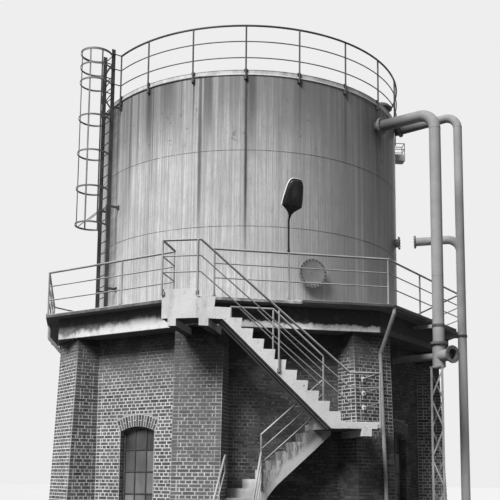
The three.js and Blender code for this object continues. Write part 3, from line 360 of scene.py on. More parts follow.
def pale_finish():
    """Pale concrete of the stair: faint marks, undersides painted dark as painted shade, and streaks on the
    lower flight's side.
    """
    f = Finish("pale_concrete", 0.88, 0.06)
    x, y, z = f.axes()
    grain = f.noise(34.0, 5.0)
    cloud = f.noise(1.7, 4.0, 0.6)
    f.base = f.mix(f.band(z, 2.6, 4.6), 0.56, 0.68)
    f.fade(grain, 0.3, 0.7, 0.3, 0.42)
    f.fade(cloud, 0.42, 0.68, 0.35, 0.36)
    f.fade(f.noise(7.0, 3.0, 0.6, tall=0.15), 0.54, 0.75, 0.4, 0.22)
    f.fade(f.noise(11.0), 0.66, 0.71, 0.6, 0.08)
    f.coat(f.band(x, -2.1, -2.2) * f.band(z, 4.4, 4.6) * 0.4, 0.4)
    lower = f.band(x, -0.5, -0.62) * f.band(z, 1.6, 1.4)
    f.coat(lower * f.band(cloud, 0.3, 0.7, 0.4, 0.8), 0.22)
    above = z - (x * FLIGHT_SLOPE + FLIGHT_FOOT)
    streak = f.band(f.noise(17.0, 5.0, 0.75, tall=0.16), 0.42, 0.6, 0.12, 0.8)
    stain = streak * f.band(above + (cloud - 0.5) * 0.5, 0.12, 0.34)
    # Painted shade on the right part of the lower flight's side
    shade = f.band(x, 0.1, 0.5, 0.0, 0.75) * f.band(above, 0.1, 0.3)
    on_side = f.band(y, -5.15, -5.05) * f.band(z, 2.66, 2.5) * f.band(x, -0.62, -0.5)
    f.coat(on_side * 0.3, 0.2)
    f.coat(f.math("MAXIMUM", stain, shade) * on_side, 0.07)
    # Painted shade on the undersides: a darker tone, darker still where they face straight down, with the
    # marks of form boards on it
    under = f.mix(f.band(cloud, 0.35, 0.65), 0.24, 0.34)
    across = y + (cloud - 0.5) * 0.1
    for line, half, level, share in SOFFIT_LINES:
        mark = f.band(abs(across - line), half + 0.014, half - 0.004, 0.0, share)
        under = f.mix(mark, under, level)
    under = f.mix(f.band(f.upward(), -0.8, -0.95), under, 0.035)
    f.fade(f.upward(), -0.3, -0.6, 0.95, under)
    return f.done(grain + cloud * 2.0, 0.004)


# Dark runs of rain down the tank: azimuth and half width in degrees, darkness, and where each fades out
RAIN_RUNS = (
    (-72.0, 4.5, 0.6, 4.5), (-60.6, 2.6, 0.4, 6.3), (-57.4, 0.9, 0.62, 7.2), (-53.2, 0.6, 0.45, 8.3),
    (-47.9, 1.3, 0.85, 8.6), (-46.0, 0.22, 0.8, 7.2), (-47.0, 0.12, 0.6, 4.9), (-42.6, 0.8, 0.55, 9.0),
    (-39.8, 2.8, 0.72, 9.1), (-34.4, 0.3, 0.45, 8.6), (-29.9, 0.35, 0.9, 8.7), (-27.5, 0.65, 0.85, 6.3),
    (-26.9, 0.12, 0.5, 4.9), (-25.0, 1.7, 0.72, 8.7), (-11.9, 0.5, 1.0, 6.0), (-11.7, 0.14, 0.6, 4.9),
    (-10.2, 1.6, 0.6, 8.5), (-1.0, 0.1, 0.35, 7.3), (6.3, 0.25, 0.45, 8.4), (13.0, 0.1, 0.3, 5.5),
    (24.4, 0.5, 0.5, 8.0), (31.0, 0.12, 0.35, 7.0), (42.2, 0.9, 0.35, 7.6), (57.0, 3.0, 0.3, 5.6),
)
RUNS_SEEN = 62.0
# Dark patches below the manhole and the first riser, each a stain and a painted shadow: azimuth, height, half
# width, half height and strength
TANK_STAINS_AND_SHADOWS = ((MANHOLE_AZ, MANHOLE_Z - 0.3, 0.3, 0.45, 0.4), (42.0, 10.16, 0.3, 0.5, 0.75))


def tank_finish():
    """Weathered grey paint: pinstripes of rain, dark runs under the posts and the seams of the plates, with
    painted shade towards the right side and painted shadows below the manhole and the first riser.
    """
    f = Finish("tank_paint", 0.62, 0.25)
    x, y, z = f.axes()
    angle = f.math("ARCTAN2", x, y * -1.0)
    degrees = angle * (180.0 / math.pi)
    along = angle * TANK_R

    def streaks(across, down, detail=3.0, rough=0.6, start=0.0):
        vector = f.out(f.node("ShaderNodeCombineXYZ", along * across, start, z * down))
        return f.noise(1.0, detail, rough, vector=vector)

    pin = streaks(22.0, 0.3, 3.0, 0.85)
    tick = streaks(30.0, 3.2, 4.0, 0.7, 2.0)
    fine = streaks(9.0, 0.16, 3.0, 0.6, 4.0)
    wide = streaks(1.1, 0.12, 2.0, 0.5, 9.0)
    f.base = f.mix(f.band(pin, 0.38, 0.62), 0.35, 0.6)
    f.fade(tick, 0.45, 0.7, 0.55, 0.24)
    f.fade(f.noise(26.0, 4.0, 0.7), 0.5, 0.75, 0.45, 0.24)
    f.fade(fine, 0.4, 0.7, 0.3, 0.34)
    f.fade(f.noise(1.4, 4.0, 0.6), 0.42, 0.68, 0.35, 0.28)
    # Painted shade: the paint darkens towards the right side, which is turned from the light
    f.fade(degrees, -20.0, 27.5, 0.67, 0.19)
    f.fade(degrees, 38.0, 70.0, 0.3, 0.1)
    corner = f.band(degrees, -27.0, -42.0) * f.band(z, 9.0, 10.5, 0.0, 0.55)
    f.coat(corner * f.band(fine, 0.62, 0.42, 0.5, 1.0), 0.13)
    f.coat(f.band(fine, 0.35, 0.6, 0.2, 0.75) * f.band(z, 8.4, 10.7, 0.1, 1.0), 0.16)
    f.coat(f.band(wide, 0.42, 0.6) * f.band(z, 9.0, 10.9, 0.12, 0.6), 0.11)
    f.coat(f.band(wide, 0.48, 0.36) * f.band(fine, 0.5, 0.35, 0.05, 0.3), 0.6)

    wobble = (tick - 0.5) * 1.2
    dark = 0.0
    for azimuth, half, strength, low in RAIN_RUNS:
        off = abs(degrees - azimuth) + wobble * half
        run = f.band(off, half * 1.5, half * 0.3, 0.0, strength) * f.band(z, low, low + 2.2)
        dark = f.math("MAXIMUM", run, dark)
    off = f.nearest(degrees, POST_FIRST, POST_STEP) + wobble
    run = f.band(off, 1.0, 0.2) * f.band(z, 7.4, 10.2, 0.0, 0.7) * f.band(wide, 0.35, 0.6, 0.3, 1.0)
    unseen = f.band(abs(degrees), RUNS_SEEN, RUNS_SEEN + 3.0)
    f.coat(f.math("MAXIMUM", dark, run * unseen), 0.045)

    spots = f.noise(5.0, 5.0, 0.65)
    f.coat(f.band(spots, 0.6, 0.7, 0.0, 0.6) * f.band(abs(z - 9.8), 1.0, 0.3), 0.1)
    for height in SEAM_HEIGHTS:
        f.coat(f.band(abs(z - height), 0.011, 0.003) * f.band(spots, 0.35, 0.6, 0.35, 0.95), 0.07)
    plates = degrees / 15.7 + f.math("FLOOR", (z - 5.46) / 1.8) * 0.37
    f.fade(abs(f.math("FRACT", plates) - 0.5), 0.007, 0.001, 0.3, 0.1)
    f.fade(z - fine * 0.3, 5.4, 5.2, 0.6, 0.12)
    # Stains and painted shadows below the manhole and the first riser
    for azimuth, level, width, height, strength in TANK_STAINS_AND_SHADOWS:
        across = (degrees - (azimuth + 1.0)) * (TANK_R * math.pi / 180) / width
        reach = f.length(across, (z - level) / height)
        f.fade(reach + spots * 0.4, 1.4, 0.5, strength, 0.08)
    f.rough(f.band(fine, 0.3, 0.7, 0.55, 0.72))
    return f.done(pin, 0.002, 0.4)


def rim_finish():
    """The tank's rim, whose lower lip is pale on the left and dark on the right."""
    f = Finish("rim_paint", 0.6, 0.3)
    x, y, z = f.axes()
    patch = f.noise(3.5, 4.0, 0.65, tall=0.6)
    f.base = f.mix(f.band(patch, 0.35, 0.65), 0.36, 0.56)
    lip = f.mix(f.band(x + patch * 0.5, -1.6, -1.2), 0.06, 0.62)
    f.base = f.mix(f.band(z, SHELL_TOP + 0.03, SHELL_TOP + 0.02), f.base, lip)
    f.fade(patch, 0.66, 0.72, 0.7, 0.1)
    return f.done(patch, 0.003)


def metal_finish(name, dark, light, rust, roughness=0.5, flecks=26.0, share=0.6, under=0.0, specular=0.4,
                 painted_light=None):
    """Painted or galvanised steel with soft patches, small rust flecks, dull runs, and where a share is given
    an underside painted dark as painted shade.
    """
    f = Finish(name, roughness, specular)
    fleck = f.noise(flecks, 3.0, 0.6)
    f.base = f.mix(f.band(f.noise(1.6), 0.3, 0.7), dark, light)
    f.fade(f.noise(8.0, tall=0.2), 0.5, 0.8, share * 0.5, dark * 0.6)
    f.fade(fleck, 0.62, 0.72, share, rust)
    # Painted shade: faces pointing down are painted dark
    if under:
        f.fade(f.upward(), 0.1, -0.2, under, dark * 0.25)
    if painted_light:
        painted_light(f)
    f.rough(f.band(fleck, 0.4, 0.7, roughness - 0.08, roughness + 0.2))
    return f.done(fleck, 0.0015, 0.5)


def pipe_painted_light(f):
    """Painted light and shade on the pipes: a painted shadow of the tank darkens them near it high up, and
    low down on the outer side they are painted paler where the base's shadow falls.
    """
    x, y, z = f.axes()
    f.coat(f.band(f.length(x, y), 5.35, 4.25, 0.0, 0.8) * f.band(z, 9.0, 9.6), 0.045)
    f.coat(f.band(x, 4.4, 4.6) * f.band(z, 5.4, 4.4, 0.0, 0.7), 0.55)


def pane_finish():
    """Dusty window panes that let little through, each in its own tone."""
    f = Finish("pane", 0.3, 0.5)
    dust = f.noise(3.0, 4.0, tall=0.5)
    tone = f.math("MULTIPLY", f.attribute("tone"), f.band(dust, 0.25, 0.75, 0.7, 1.2), clamp=True)
    f.base = f.mix(tone, 0.015, 0.2)
    f.rough(f.band(dust, 0.3, 0.7, 0.2, 0.5))
    return f.done()


def roof_finish():
    """Roof plates: dull paint, soft dirt, lapped seams and a grimy edge."""
    f = Finish("roof_paint", 0.75, 0.2)
    x, y, z = f.axes()
    reach = f.length(x, y)
    angle = f.math("ARCTAN2", x, y * -1.0)
    stain = f.noise(8.0, 4.0, 0.65)
    f.base = f.mix(f.band(f.noise(2.4, 5.0, 0.7), 0.35, 0.65), 0.2, 0.26)
    f.fade(stain, 0.5, 0.72, 0.5, 0.13)
    f.fade(f.noise(45.0), 0.5, 0.8, 0.3, 0.15)
    off = f.nearest(angle, math.radians(ROOF_SEAM_FIRST), math.radians(ROOF_SEAM_STEP)) * reach
    f.fade(off, 0.052, 0.034, 0.3, 0.1)
    for ring in (1.35, 2.65):
        f.fade(abs(reach - ring), 0.02, 0.006, 0.4, 0.1)
    f.fade(reach + (stain - 0.5) * 0.8, 3.5, 4.0, 0.6, 0.1)
    return f.done(stain, 0.003, 0.5)


BULB = Vector((-0.06, -5.5, 7.6))
BOWL_SCALE = (1.6, 1.0, 0.8)


def glass_finish():
    """The lamp's smoked bowl, a little paler where its bulb is."""
    f = Finish("lamp_glass", 0.3, 0.15)
    f.base = f.mix(f.band(f.noise(5.0), 0.4, 0.7), 0.018, 0.034)
    centre = [a * b for a, b in zip(BULB, BOWL_SCALE)]
    off = f.node("ShaderNodeVectorMath", f.scaled(*BOWL_SCALE), centre, operation="DISTANCE")
    f.fade(f.out(off, "Value"), 0.17, 0.02, 0.6, 0.1)
    return f.done()


MATERIALS = {
    "brick": brick_finish(),
    "mortar": mortar_finish(),
    "wall_core": inner_wall_finish(),
    "beam": beam_finish(),
    "slab": slab_finish(),
    "pale": pale_finish(),
    "tank": tank_finish(),
    "rim": rim_finish(),
    "rail": metal_finish("rail_steel", 0.24, 0.4, 0.1, under=0.9),
    "dark": metal_finish("dark_steel", 0.035, 0.08, 0.02, 0.6),
    "pipe": metal_finish("pipe_paint", 0.24, 0.29, 0.13, 0.72, 9.0, 0.2, specular=0.2, painted_light=pipe_painted_light),
    "gauge": metal_finish("gauge_paint", 0.5, 0.66, 0.2, 0.6, 9.0, 0.3, under=0.95),
    "flange": metal_finish("flange_paint", 0.08, 0.18, 0.04, 0.6),
    "frame": metal_finish("window_frame", 0.025, 0.06, 0.015, 0.6),
    "pane": pane_finish(),
    "mortar_dab": metal_finish("mortar_dab", 0.5, 0.75, 0.2, 0.9, 20.0),
    "glass": glass_finish(),
    "lamp": metal_finish("lamp_shell", 0.62, 0.75, 0.5, 0.35),
    "lamp_dark": metal_finish("lamp_body", 0.01, 0.02, 0.008, 0.6, specular=0.12),
    "black": metal_finish("black_rubber", 0.02, 0.04, 0.015, 0.6),
    "gutter": metal_finish("gutter_zinc", 0.05, 0.1, 0.03, 0.6),
    "manhole": metal_finish("manhole_paint", 0.17, 0.24, 0.09, 0.6, 14.0),
    "roof_rail": metal_finish("roof_rail_steel", 0.08, 0.16, 0.04, 0.6),
    "cage": metal_finish("cage_steel", 0.08, 0.16, 0.04, 0.6),
    "mast": metal_finish("mast_steel", 0.16, 0.28, 0.06, 0.65),
    "downpipe": metal_finish("downpipe_zinc", 0.2, 0.32, 0.09, 0.55),
    "roof": roof_finish(),
}


# Meshes in code
STRAIGHT = 0.0001


def skin(rings, count, loop):
    """Quads between neighbouring rings of points. With loop the last ring meets the first."""
    faces = []
    for i in range(rings if loop else rings - 1):
        a, b = i * count, (i + 1) % rings * count
        faces += [(a + k, a + (k + 1) % count, b + (k + 1) % count, b + k) for k in range(count)]
    return faces


class Build:
    """Vertices and faces of one piece, gathered from simple forms."""

    def __init__(self):
        self.points = []
        self.faces = []
        self.slots = []
        self.values = {}

    def add(self, points, faces, slot=0, **values):
        start = len(self.points)
        self.points.extend(tuple(p) for p in points)
        self.faces.extend(tuple(start + i for i in face) for face in faces)
        self.slots.extend([slot] * len(faces))
        for name, value in values.items():
            self.values.setdefault(name, []).extend([value] * len(points))

    def piece(self, name, materials, slot_name, replaces=None, crease=35.0):
        mesh = bpy.data.meshes.new(name)
        mesh.from_pydata(self.points, [], self.faces)
        for key in materials:
            mesh.materials.append(MATERIALS[key])
        mesh.polygons.foreach_set("material_index", self.slots)
        for key, values in self.values.items():
            layer = mesh.attributes.new(key, "FLOAT", "POINT")
            layer.data.foreach_set("value", values)
        if crease:
            mesh.polygons.foreach_set("use_smooth", [True] * len(self.faces))
            mesh.set_sharp_from_angle(angle=math.radians(crease))
        mesh.update()
        made = bpy.data.objects.new(name, mesh)
        bpy.context.collection.objects.link(made)
        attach(made, "root")
        if replaces:
            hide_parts(replaces)

    def loft(self, rings, slot=0, flip=False, loop=False, **values):
        """A skin over rings of points, with its ends closed unless it is a loop."""
        count, total = len(rings[0]), len(rings)
        faces = skin(total, count, loop)
        if not loop:
            faces += [tuple(range(count))[::-1], tuple(range((total - 1) * count, total * count))]
        if flip:
            faces = [face[::-1] for face in faces]
        self.add([p for ring in rings for p in ring], faces, slot, **values)

    def sweep(self, route, radius, sides=12, slot=0):
        """A round tube along a list of points, which keeps its width in bends."""
        route = [Vector(p) for p in route]
        ways = [(b - a).normalized() for a, b in zip(route, route[1:])]
        tangents = [ways[0]] + [(a + b).normalized() for a, b in zip(ways, ways[1:])] + [ways[-1]]
        normal = ways[0].orthogonal().normalized()
        rings = []
        for i, (point, tangent) in enumerate(zip(route, tangents)):
            normal = (normal - tangent * normal.dot(tangent)).normalized()
            other = tangent.cross(normal)
            stretch = 1.0 / max(0.5, tangent.dot(ways[i])) - 1.0 if 0 < i < len(ways) else 0.0
            bend = (ways[i] - ways[i - 1]).normalized() if stretch > STRAIGHT else Vector()
            rings.append([])
            for k in range(sides):
                a = 2 * math.pi * k / sides
                off = (normal * math.cos(a) + other * math.sin(a)) * radius
                rings[-1].append(point + off + bend * off.dot(bend) * stretch)
        self.loft(rings, slot)

    def rod(self, start, end, radius, sides=12, slot=0):
        self.sweep([start, end], radius, sides, slot)

    def box(self, low, high, turn=Matrix(), slot=0, **values):
        points = [turn @ Vector((x, y, z)) for x in (low[0], high[0]) for y in (low[1], high[1])
                  for z in (low[2], high[2])]
        faces = [(0, 1, 3, 2), (4, 6, 7, 5), (0, 4, 5, 1), (2, 3, 7, 6), (0, 2, 6, 4), (1, 5, 7, 3)]
        self.add(points, faces, slot, **values)

    def block(self, azimuth, r, u, z, slot=0, **values):
        """A box turned to an azimuth, from its spans of r, u and z."""
        self.box((u[0], -r[1], z[0]), (u[1], -r[0], z[1]), about(azimuth), slot, **values)

    def turned(self, profile, segments, turn=Matrix(), slot=0):
        """A closed profile of radius and height, turned round the axis."""
        points = []
        for i in range(segments):
            a = 2 * math.pi * i / segments
            points += [turn @ Vector((r * math.cos(a), r * math.sin(a), z)) for r, z in profile]
        count = len(profile)
        faces = [face[::-1] for face in skin(segments, count, True)
                 if profile[face[0] % count][0] or profile[face[1] % count][0]]
        self.add(points, faces, slot)


# Brickwork: each brick proud of its mortar
COURSES = 62
COURSE = BEAM_BOTTOM / COURSES
STRETCHER = 0.25
NARROWEST = 0.045
JOINT = 0.022
UPRIGHT_JOINT = 0.026
BRICK_PROUD = 0.006
MORTAR_PROUD = 0.001
EASE = 0.0035
dice = random.Random(7)


def bond(width, course):
    """Edges of the bricks of one course: stretchers, then headers with closers, and so on."""
    count = max(1, round(width / STRETCHER))
    pitch = width / count
    kind = course % 4
    if kind == 0:
        return [pitch * i for i in range(count + 1)]
    if kind == 2:
        return [0.0] + [pitch * (i + 0.5) for i in range(count)] + [width]
    edges = [0.0, pitch * 0.5]
    at = pitch * 0.75
    while at < width - pitch * 0.74:
        edges.append(at)
        at += pitch * 0.5
    if count > 1:
        edges.append(width - pitch * 0.5)
    edges.append(width)
    return sorted(set(round(e, 4) for e in edges))


def lay_brick(build, corners, out, soot, shade=0.0):
    """One brick from its four corners on the wall's face. Its top edges are eased."""
    middle = sum(corners, Vector()) / 4
    proud = BRICK_PROUD + dice.uniform(-0.0015, 0.0015)
    tone = clamped(dice.gauss(0.45 + shade, 0.25))
    low = [corner + out * MORTAR_PROUD * 0.5 for corner in corners]
    high = [corner + (middle - corner).normalized() * EASE + out * proud for corner in corners]
    build.add(low + high, skin(2, 4, False) + [(4, 5, 6, 7)], 0, tone=tone, soot=soot)


def lay_panel(build, place, across, out, width, soot, gap=None, parity=0, first=0, last=COURSES, shade=0.0):
    """A face of brickwork: its left foot corner by height, two directions, and its width by height."""
    for course in range(first, last):
        z0, z1 = COURSE * course, COURSE * (course + 1)
        # Each course's share of sootiness and painted shade
        end, soot_and_shade_here = width(z0), soot((z0 + z1) / 2)
        blocked = gap(z0, z1) if gap else None
        spans = [(0.0, blocked[0]), (blocked[1], end)] if blocked else [(0.0, end)]

        def quad(u0, u1, w0, w1):
            return [place(w) + across * u for u, w in ((u0, w0), (u1, w0), (u1, w1), (u0, w1))]

        for a, b in spans:
            mortar = [p + out * MORTAR_PROUD for p in quad(a, b, z0, z1)]
            build.add(mortar, [(0, 1, 2, 3)], 1, tone=0.5, soot=soot_and_shade_here)
        edges = bond(end, course + parity)
        for a, b in spans:
            for left, right in zip(edges, edges[1:]):
                left, right = max(left, a), min(right, b)
                if right - left < NARROWEST:
                    continue
                low = z0 + JOINT / 2 + dice.uniform(-0.001, 0.001)
                high = z1 - JOINT / 2 + dice.uniform(-0.001, 0.001)
                corners = quad(left + UPRIGHT_JOINT / 2, right - UPRIGHT_JOINT / 2, low, high)
                lay_brick(build, corners, out, clamped(soot_and_shade_here + dice.uniform(-0.12, 0.12)), shade)


WALL_HALF = (WALL_OUT * SIN_C - PIER_HALF) / COS_C
PIER_SIDE_FROM = (WALL_OUT - PIER_HALF * SIN_C) / COS_C
WINDOW_HALF = 0.5
WINDOW_SILL = 0.76
WINDOW_SPRING = 2.61
WINDOW_CROWN = 2.72
ARCH_DEEP = 0.26
ARCH_RISE = WINDOW_CROWN - WINDOW_SPRING
ARCH_R = (WINDOW_HALF ** 2 + ARCH_RISE ** 2) / (2 * ARCH_RISE)
ARCH_OUTER = ARCH_R + ARCH_DEEP
ARCH_CENTRE = WINDOW_CROWN - ARCH_R
ARCH_SPAN = math.asin(WINDOW_HALF / ARCH_R)
ARCH_BRICKS = 15
SILL_BRICKS = 13
SASH_SETBACK = 0.13


def window_gap(z0, z1):
    """Blocked stretch of a wall course at the window and its arch: from and to."""
    skew_top = ARCH_CENTRE + ARCH_OUTER * math.cos(ARCH_SPAN)
    if z1 <= WINDOW_SILL - 0.12 or z0 >= ARCH_CENTRE + ARCH_OUTER:
        return None
    if z1 <= WINDOW_SPRING:
        half = WINDOW_HALF
    elif z1 <= skew_top:
        half = WINDOW_HALF + (z1 - WINDOW_SPRING) * math.tan(ARCH_SPAN)
    elif z0 < skew_top:
        half = ARCH_OUTER * math.sin(ARCH_SPAN)
    else:
        half = math.sqrt(max(0.0, ARCH_OUTER ** 2 - (z0 - ARCH_CENTRE) ** 2))
    return (WALL_HALF - half, WALL_HALF + half) if half > 0.02 else None


def pier_front(z):
    return PIER_FOOT_OUT + (PIER_TOP_OUT - PIER_FOOT_OUT) * z / BEAM_BOTTOM


# How sooty each face is, with painted shade counted in the same share under the beam, under the stair and on
# the faces turned from the light: heights and the share there
WALL_SOOT_AND_SHADE = {
    "front": ((0.0, 0.86), (1.6, 0.88), (2.6, 0.76), (3.4, 0.76), (4.2, 0.95), (4.7, 1.0)),
    "front_left": ((0.0, 0.27), (2.4, 0.2), (3.1, 0.22), (3.6, 0.4), (4.1, 0.62), (4.5, 0.7), (4.76, 0.85)),
    "front_right": ((0.0, 0.84), (3.6, 0.84), (4.4, 1.0), (4.7, 1.0)),
}
PIER_SOOT_AND_SHADE = {
    "front_left": ((0.0, 0.48), (1.84, 0.48), (1.9, 0.6), (3.9, 0.56), (4.5, 0.85), (4.7, 1.0)),
    "left": ((0.0, 0.0), (3.3, 0.02), (4.1, 0.22), (4.5, 0.8), (4.7, 1.0)),
    "front": ((0.0, 0.9), (2.4, 0.88), (2.7, 0.24), (3.9, 0.26), (4.35, 0.7), (4.7, 1.0)),
}
DEFAULT_WALL = ((0.0, 0.15), (0.5, 0.3), (3.4, 0.3), (4.4, 0.92), (4.7, 1.0))
DEFAULT_PIER = ((0.0, 0.1), (1.2, 0.35), (3.8, 0.35), (4.5, 0.9), (4.7, 1.0))
# How much lighter or darker than usual the bricks of a pier are: the left pier's are painted lighter, as
# painted light on the side the light comes from
PIER_TONE_AND_PAINTED_LIGHT = {"left": 0.16, "front": -0.34}


def soot_and_shade_of(profile):
    def soot(z):
        for (z0, share0), (z1, share1) in zip(profile, profile[1:]):
            if z <= z1:
                return share0 + (share1 - share0) * (z - z0) / (z1 - z0)
        return profile[-1][1]
    return soot


def brick_face(face, index):
    """One wall and the pier at its end, with the window's arch and jambs where it has one."""
    azimuth = FACE_STEP * index
    has_window = index % 2 == 1
    build = Build()
    soot = soot_and_shade_of(WALL_SOOT_AND_SHADE.get(face, DEFAULT_WALL))
    lay_panel(build, lambda z: polar(azimuth, WALL_OUT, -WALL_HALF, z), polar(azimuth, 0, 1),
              polar(azimuth, 1), lambda z: 2 * WALL_HALF, soot, window_gap if has_window else None)
    pier = azimuth + CORNER
    pier_soot_and_shade = soot_and_shade_of(PIER_SOOT_AND_SHADE.get(face, DEFAULT_PIER))
    shade = PIER_TONE_AND_PAINTED_LIGHT.get(face, 0.0)
    batter = (PIER_FOOT_OUT - PIER_TOP_OUT) / BEAM_BOTTOM
    lay_panel(build, lambda z: polar(pier, pier_front(z), -PIER_HALF, z), polar(pier, 0, 1),
              (polar(pier, 1) + UP * batter).normalized(), lambda z: 2 * PIER_HALF, pier_soot_and_shade, shade=shade)
    for side in (-1, 1):
        lay_panel(build, lambda z: polar(pier, pier_front(z), side * PIER_HALF, z), polar(pier, -1),
                  polar(pier, 0, side), lambda z: pier_front(z) - PIER_SIDE_FROM, pier_soot_and_shade,
                  parity=1, shade=shade)
    if has_window:
        lay_arch(build, azimuth, soot(2.8) * 0.6)
        lay_reveals(build, azimuth, soot)
    build.piece(f"bricks_{face}", ("brick", "mortar"), "brick", crease=0)


def lay_arch(build, azimuth, soot):
    """A segmental arch of bricks on end, some split in two."""
    out = polar(azimuth, 1)
    step = 2 * ARCH_SPAN / ARCH_BRICKS
    joint = JOINT * 0.35 / ARCH_R
    bottom, top = ARCH_R + 0.006, ARCH_OUTER - 0.008

    def spot(angle, r):
        return polar(azimuth, WALL_OUT, r * math.sin(angle), ARCH_CENTRE + r * math.cos(angle))

    for i in range(ARCH_BRICKS):
        a0, a1 = -ARCH_SPAN + step * i, -ARCH_SPAN + step * (i + 1)
        back = [spot(a, r) + out * MORTAR_PROUD
                for a, r in ((a0, ARCH_R), (a1, ARCH_R), (a1, ARCH_OUTER), (a0, ARCH_OUTER))]
        build.add(back, [(0, 1, 2, 3)], 1, tone=0.5, soot=soot)
        cuts = [bottom, top] if i % 2 else [bottom, ARCH_R + 0.125, ARCH_R + 0.138, top]
        for low, high in zip(cuts[::2], cuts[1::2]):
            corners = ((a0 + joint, low), (a1 - joint, low), (a1 - joint, high), (a0 + joint, high))
            lay_brick(build, [spot(a, r) for a, r in corners], out, soot)


def lay_reveals(build, azimuth, soot):
    """Brick jambs of the window, and a sill of bricks on edge."""
    for side in (-1, 1):
        lay_panel(build, lambda z: polar(azimuth, WALL_OUT, side * WINDOW_HALF, z), polar(azimuth, -1),
                  polar(azimuth, 0, -side), lambda z: SASH_SETBACK, soot,
                  first=math.ceil(WINDOW_SILL / COURSE), last=int(WINDOW_SPRING / COURSE))
    half = WINDOW_HALF + 0.02
    pitch = 2 * half / SILL_BRICKS
    low, high = WINDOW_SILL - 0.115, WINDOW_SILL - 0.008
    for i in range(SILL_BRICKS):
        u0 = -half + pitch * i + JOINT / 2
        u1 = u0 + pitch - JOINT
        corners = ((u0, low), (u1, low), (u1, high), (u0, high))
        lay_brick(build, [polar(azimuth, WALL_OUT + 0.012, u, z) for u, z in corners], polar(azimuth, 1), 0.3)


for number, face_name in enumerate(FACES):
    brick_face(face_name, number)


# Concrete: copies of the solids with eased edges
def cast(node, material, width):
    mesh = NODES[node].data.copy()
    mesh.materials.clear()
    mesh.materials.append(MATERIALS[material])
    made = bpy.data.objects.new(f"{node}_cast", mesh)
    bpy.context.collection.objects.link(made)
    weld = made.modifiers.new("weld", "WELD")
    weld.merge_threshold = 0.0002
    flat = made.modifiers.new("flat", "DECIMATE")
    flat.decimate_type = "DISSOLVE"
    flat.angle_limit = math.radians(1)
    ease = made.modifiers.new("ease", "BEVEL")
    ease.width = width
    ease.segments = 2
    ease.limit_method = "ANGLE"
    ease.angle_limit = math.radians(30)
    ease.use_clamp_overlap = True
    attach(made, "root")
    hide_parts(node)


for node_name in ("top_landing", "stair_upper_flight", "mid_landing", "stair_lower_flight"):
    cast(node_name, "pale", 0.01)
cast("ring_beam", "beam", 0.012)
cast("gallery_slab", "slab", 0.01)


# Tank
TANK_TURNS = 288


def make_tank():
    shell = Build()
    wall = [(SHELL_IN, SHELL_BOTTOM), (TANK_R, SHELL_BOTTOM), (TANK_R, SHELL_TOP), (SHELL_IN, SHELL_TOP)]
    shell.turned(wall, TANK_TURNS)
    for level in SEAM_HEIGHTS:
        bead = ((-0.004, -0.006), (0.004, -0.003), (0.004, 0.003), (-0.004, 0.006))
        shell.turned([(TANK_R + r, level + z) for r, z in bead], TANK_TURNS)
    shell.piece("tank_plates", ("tank",), "tank_steel", "tank_shell", 30)
    rim = Build()
    face = RIM_OUT - 0.008
    rim.turned([(SHELL_IN, SHELL_TOP), (RIM_OUT, SHELL_TOP), (RIM_OUT, SHELL_TOP + 0.02),
                (face, SHELL_TOP + 0.026), (face, RIM_TOP - 0.012), (RIM_OUT, RIM_TOP - 0.008),
                (RIM_OUT, RIM_TOP), (SHELL_IN, RIM_TOP)], TANK_TURNS)
    rim.piece("rim_band", ("rim",), "tank_steel", "roof_rim", 30)


# Shapes shared by the steelwork
TOP_RAIL = 0.024
LOW_RAIL = 0.014
POST = 0.02
RAIL_SIZES = (LOW_RAIL, LOW_RAIL, TOP_RAIL)
FLANGE_THICK = 0.028
FLANGE_EASE = 0.004
FLANGE_SIDES = 48
PIPE_SIDES = 40
TOUCH = 0.0005


def rounded(points, bend, pieces=8):
    """The stations of a polyline whose corners are rounded to a bend radius."""
    points = [Vector(p) for p in points]
    stations = [points[0]]
    for before, here, after in zip(points, points[1:], points[2:]):
        into = (here - before).normalized()
        out = (after - here).normalized()
        turn = into.angle(out)
        start = here - into * bend * math.tan(turn / 2)
        normal = (out - into * out.dot(into)).normalized()
        for k in range(pieces + 1):
            a = turn * k / pieces
            stations.append(start + normal * bend * (1 - math.cos(a)) + into * bend * math.sin(a))
    stations.append(points[-1])
    return stations


def pointing(place, way):
    """Turns a form made about +Z to stand at a place and point along a direction."""
    return Matrix.Translation(place) @ Vector(way).to_track_quat("Z", "Y").to_matrix().to_4x4()


def bolt(build, azimuth, r, u, z, size=0.01, length=0.014, slot=0):
    """A hexagon head that points outwards."""
    build.rod(polar(azimuth, r, u, z), polar(azimuth, r + length, u, z), size, 6, slot)


def bolt_ring(build, turn, radius, count=12, height=0.016, size=0.013):
    """Hexagon heads on a flange's face."""
    for i in range(count):
        a = 2 * math.pi * (i + 0.5) / count
        spot = Vector((radius * math.cos(a), radius * math.sin(a), 0))
        build.rod(turn @ (spot - UP * 0.002), turn @ (spot + UP * height), size, 6, 1)


def flange(build, place, way, radius):
    """A solid flange disc with eased edges."""
    inner, far = radius - FLANGE_EASE, FLANGE_THICK - FLANGE_EASE
    profile = [(0, 0), (inner, 0), (radius, FLANGE_EASE), (radius, far), (inner, FLANGE_THICK),
               (0, FLANGE_THICK)]
    build.turned(profile, FLANGE_SIDES, pointing(place, way), 1)


